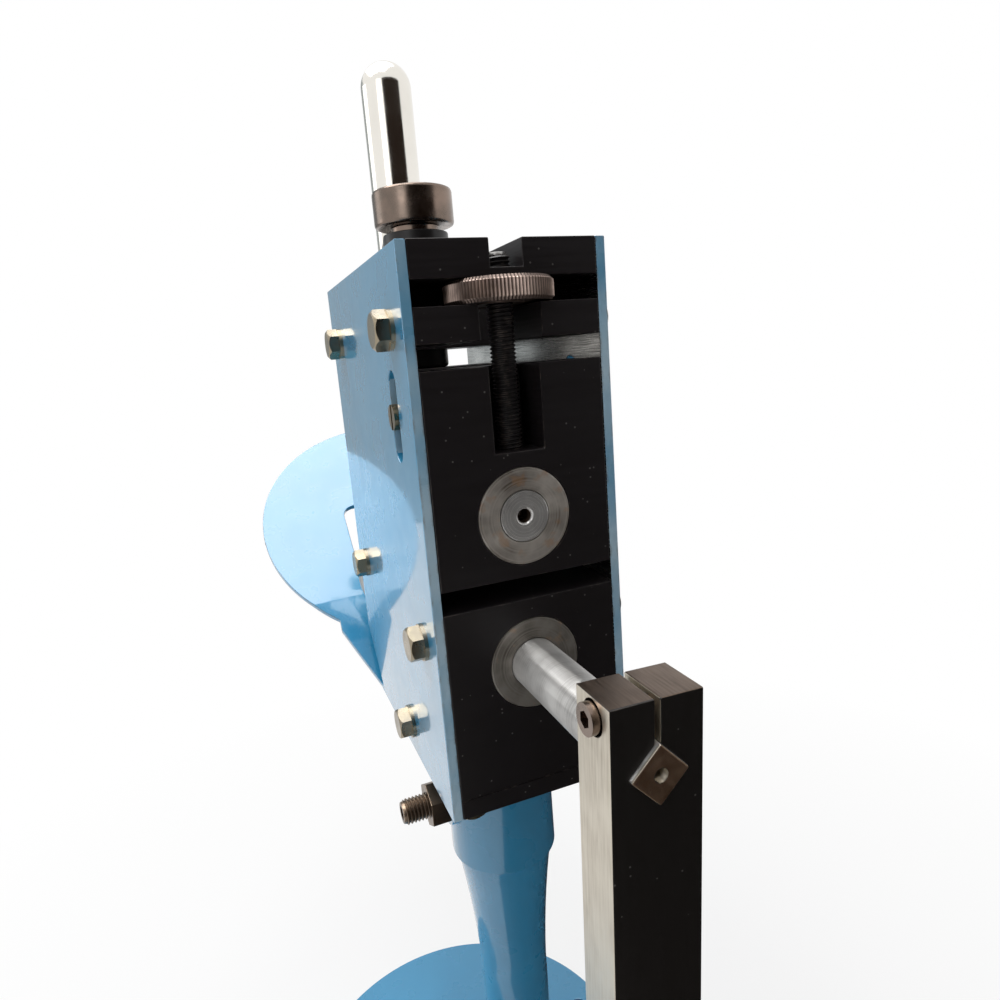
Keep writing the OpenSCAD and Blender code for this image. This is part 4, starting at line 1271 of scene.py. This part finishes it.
@dataclass
class PressureScrew(SubAssembly):
    """Front pressure screw with its collar, arm and upright grip."""

    body: str = "pressure"
    pitch: float = 2.0 * MM
    tip: float = 9.0 * MM
    tip_round: float = 2.0 * MM
    tip_steps: int = 5
    collar_edge: float = 0.8 * MM

    def build(self) -> None:
        """Builds and dresses the pressure screw."""
        rack = self.rack
        self.fit(self.screw(), rack.screw_black, "pressure_screw")
        self.ease(rack.collar_steel, self.collar_edge, "pressure_collar")
        self.ease(rack.screw_black, self.collar_edge, "pressure_arm")
        pin = LatheSteel(
            "pin_steel", Slot.BRIGHT_STEEL, rgb(0.55, 0.55, 0.54),
            tuple(middle("pressure_grip_pin")), axis=Axis.Z,
        )
        self.paint(pin, "pressure_grip_pin")
        self.paint(rack.chrome, "pressure_grip")

    def screw(self) -> Object:
        """Cuts the screw's thread above its plain, rounded tip.

        Returns:
            The pressure screw.
        """
        node = "pressure_screw"
        width, _, length = extent(node)
        cutter = ThreadCutter(width / 2, self.pitch)
        inner = cutter.root - self.tip_round
        turns = [math.pi / 2 * step / self.tip_steps for step in range(self.tip_steps + 1)]
        rings = [
            (inner + self.tip_round * math.sin(turn), self.tip_round * (1 - math.cos(turn)))
            for turn in turns
        ]
        core = Lathe().turn("pressure_tip", rings + [(cutter.root, length)])
        return cutter.screw(f"{node}_threaded", core, (self.tip, length), Axis.Z, foot(node))


@dataclass
class RollTrain(SubAssembly):
    """A shaft with its gear, sleeves, keys, forming roll, washer and nut."""

    body: str = "upper_train"
    which: str = "upper"
    square_end: bool = False
    shine: float = 0.55
    marks: float = 2200.0
    mark_depth: float = 0.05 * MM
    sheen: float = 0.5
    gloss: Span = (0.2, 0.3)
    end_depth: float = 9.0 * MM
    drill: float = 2.6 * MM
    facing: float = 0.97
    edgewise: float = 0.5
    nut_edge: float = 0.4 * MM
    shaft_edge: float = 0.7 * MM

    def build(self) -> None:
        """Builds and dresses the train."""
        rack, which = self.rack, self.which
        centre = middle(f"{which}_gear")
        bright = LatheSteel(
            f"{which}_shaft_steel", Slot.BRIGHT_STEEL, rgb(0.68, 0.67, 0.65), tuple(centre),
            second=rgb(0.34, 0.33, 0.32), gloss=self.gloss, lines=self.marks, metal=self.shine,
            line_depth=self.mark_depth, sheen=self.sheen,
        )
        dark = LatheSteel(
            f"{which}_gear_steel", Slot.BUSH_STEEL, rgb(0.28, 0.27, 0.26), tuple(centre)
        )
        self.paint(bright, f"{which}_roll")
        (shaft,) = self.ease(bright, self.shaft_edge, f"{which}_shaft")
        end = corners(f"{which}_shaft")[0].y + self.end_depth
        if self.square_end:
            rack.dress_faces(
                shaft, rack.bronzed_steel, lambda normal, place: place.y < end and normal.y < 0
            )
            rack.dress_faces(
                shaft, rack.sawn_steel,
                lambda normal, place: place.y < end and abs(normal.y) < self.edgewise,
            )
        else:
            rack.dress_faces(
                shaft, rack.brown_steel,
                lambda normal, place: place.y < end and abs(normal.y) < self.facing
                and (place.xz - centre.xz).length < self.drill,
            )
        self.paint(dark, f"{which}_gear", f"{which}_sleeves", f"{which}_keys")
        self.paint(rack.zinc, f"{which}_roll_washer")
        self.ease(rack.zinc, self.nut_edge, f"{which}_roll_nut")


@dataclass
class Crank(SubAssembly):
    """Crank arm clamped on the lower shaft, and the grip on its end."""

    body: str = "crank"
    arm_edge: float = 0.6 * MM
    nut_edge: float = 0.4 * MM
    facing: float = 0.9

    def build(self) -> None:
        """Builds and dresses the crank."""
        rack = self.rack
        (arm,) = self.ease(rack.arm_black, self.arm_edge, "crank_arm")
        rack.dress_faces(arm, rack.sawn_steel, lambda normal, place: abs(normal.x) > self.facing)
        rack.dress_faces(arm, rack.brown_steel, lambda normal, place: normal.z > self.facing)
        self.paint(rack.collar_steel, "pinch_screw")
        bolt = LatheSteel(
            "grip_bolt_steel", Slot.BRIGHT_STEEL, rgb(0.55, 0.55, 0.54),
            tuple(middle("crank_grip_bolt")),
        )
        self.paint(bolt, "crank_grip_bolt")
        self.ease(rack.zinc, self.nut_edge, "crank_grip_nut")
        self.paint(rack.chrome, "crank_grip")


@dataclass(frozen=True)
class Lamp:
    """A soft square lamp, with the length of its side and its power in watts."""

    name: str
    place: Point
    size: float
    power: float

    def hang(self, target: Point) -> None:
        """Hangs the lamp so that it points at a target.

        Args:
            target: the point to light.
        """
        light = bpy.data.lights.new(self.name, "AREA")
        light.shape = "SQUARE"
        light.size = self.size
        light.energy = self.power
        lamp = Bench.link(self.name, light)
        lamp.location = self.place
        aim = Vector(target) - Vector(self.place)
        lamp.rotation_euler = aim.to_track_quat("-Z", "Y").to_euler()


@dataclass(frozen=True)
class ReflectionCard:
    """A glowing card between two corners of one plane, seen only in polished metal and gloss: a
    painted reflection, dark unless given a grey shade.
    """

    name: str
    low: Point
    high: Point
    # Near black by default: a painted dark reflection.
    shade: Colour = rgb(0.02, 0.014, 0.011)

    def stand(self) -> None:
        """Sets up the card."""
        low, high = Vector(self.low), Vector(self.high)
        card = Bench.start(
            self.name, bpy.ops.mesh.primitive_cube_add, size=1.0, location=(low + high) / 2
        )
        card.scale = [max(side, MM) for side in high - low]
        Bench.settle(card)
        material = bpy.data.materials.new(self.name)
        material.use_nodes = True
        board = Board(material.node_tree)
        # The card glows in its own shade, so metal and gloss show it as a painted reflection.
        glow = board.add("ShaderNodeEmission", {"Color": self.shade})
        board.add("ShaderNodeOutputMaterial", {"Surface": glow.outputs[0]})
        card.data.materials.append(material)
        # Hidden from the camera, from diffuse light and from shadows: it is only a painted
        # reflection.
        card.visible_camera = False
        card.visible_diffuse = False
        card.visible_shadow = False


@dataclass
class Studio:
    """Pale floor, white surroundings, soft lamps, cards painted into the reflections and the
    photograph's camera.
    """

    lens: float = 24.81
    sensor: float = 36.0
    nearest: float = 0.01
    eye: Point = (-99.5 * MM, -294.3 * MM, 429.7 * MM)
    right: Point = (0.9256, -0.3704, -0.0782)
    ahead: Point = (0.3488, 0.9146, -0.2045)
    floor_size: float = 12.0
    floor_shade: Colour = rgb(0.75, 0.75, 0.75)
    floor_glow: float = 0.78
    shadow_reach: Span = (0.2, 0.6)
    ambient: float = 0.15
    target: Point = (0.0, 20 * MM, 360 * MM)
    lamps: Sequence[Lamp] = (
        Lamp("top_lamp", (-0.3, 0.25, 1.75), 1.4, 34.0),
        Lamp("front_lamp", (-1.3, 1.3, 0.75), 1.0, 4.0),
        Lamp("rear_lamp", (-1.0, -0.9, 1.0), 0.5, 1.5),
    )
    # Painted reflections: a dark card behind the machine, dark cards on the floor behind and to
    # its right, and a grey one ahead and to the left.
    cards: Sequence[ReflectionCard] = (
        ReflectionCard("rear_card", (-0.58, -0.95, 0.0), (1.12, -0.95, 1.25)),
        ReflectionCard("floor_card", (-0.1, -0.95, MM), (1.12, -0.1, MM)),
        ReflectionCard("side_card", (0.0, -0.1, MM), (1.12, 0.6, MM)),
        ReflectionCard("far_card", (-1.7, 1.5, 0.0), (-0.1, 1.5, 1.4), rgb(0.36, 0.39, 0.4)),
    )

    def build(self) -> None:
        """Sets up the studio."""
        self.floor()
        self.surroundings()
        for lamp in self.lamps:
            lamp.hang(self.target)
        for card in self.cards:
            card.stand()
        self.camera()

    @staticmethod
    def shown(board: Board) -> NodeSocket:
        """Gives 1 for the rays that see the background, straight or in metal."""
        path = board.add("ShaderNodeLightPath").outputs
        return board.sums("MAXIMUM", path["Is Camera Ray"], path["Is Glossy Ray"])

    def floor(self) -> None:
        """Lays the pale floor, which keeps the machine's shadow."""
        floor = Bench.start("floor", bpy.ops.mesh.primitive_plane_add, size=self.floor_size)
        material = bpy.data.materials.new("pale_floor")
        material.use_nodes = True
        board = Board(material.node_tree)
        matt = board.add("ShaderNodeBsdfDiffuse", {"Color": self.floor_shade}).outputs[0]
        glow = board.add("ShaderNodeEmission", {"Color": WHITE, "Strength": 1.0}).outputs[0]
        away = board.length(board.add("ShaderNodeTexCoord").outputs["Object"])
        glowing = board.spread(away, self.shadow_reach, (self.floor_glow, 1.0))
        share = board.product(self.shown(board), glowing)
        mixed = board.add("ShaderNodeMixShader", {0: share, 1: matt, 2: glow})
        board.add("ShaderNodeOutputMaterial", {"Surface": mixed.outputs[0]})
        floor.data.materials.append(material)

    def surroundings(self) -> None:
        """Makes the world white to look at and a soft fill to light by."""
        world = bpy.data.worlds.new("white_room")
        world.use_nodes = True
        board = Board(world.node_tree)
        strength = board.spread(self.shown(board), UNIT, (self.ambient, 1.0))
        sky = board.add("ShaderNodeBackground", {"Color": WHITE, "Strength": strength})
        board.add("ShaderNodeOutputWorld", {"Surface": sky.outputs[0]})
        bpy.context.scene.world = world

    def camera(self) -> None:
        """Stands the camera where the photograph was taken."""
        lens = bpy.data.cameras.new("photo_camera")
        lens.sensor_width = self.sensor
        lens.lens = self.lens
        lens.clip_start = self.nearest
        camera = Bench.link("photo_camera", lens)
        back = -Vector(self.ahead).normalized()
        right = Vector(self.right).normalized()
        up = back.cross(right).normalized()
        turn = Matrix((up.cross(back), up, back)).transposed()
        camera.matrix_world = Matrix.LocRotScale(Vector(self.eye), turn, None)
        bpy.context.scene.camera = camera


def main() -> None:
    """Builds every sub-assembly and the studio."""
    logging.basicConfig(level=logging.INFO, format="%(name)s: %(message)s")
    bpy.context.scene.view_settings.view_transform = "Standard"
    rack = FinishRack()
    groups: Sequence[SubAssembly] = (
        Stand(rack),
        HeadFrame(rack),
        Carriage(rack),
        ThumbWheel(rack),
        PressureScrew(rack),
        RollTrain(rack),
        RollTrain(
            rack, body="crank", which="lower", square_end=True, shine=0.92,
            mark_depth=0.004 * MM, sheen=1.0, gloss=(0.33, 0.38),
        ),
        Crank(rack),
    )
    for group in groups:
        LOG.info("%s", type(group).__name__)
        group.build()
    Studio().build()


if __name__ == "__main__":
    main()
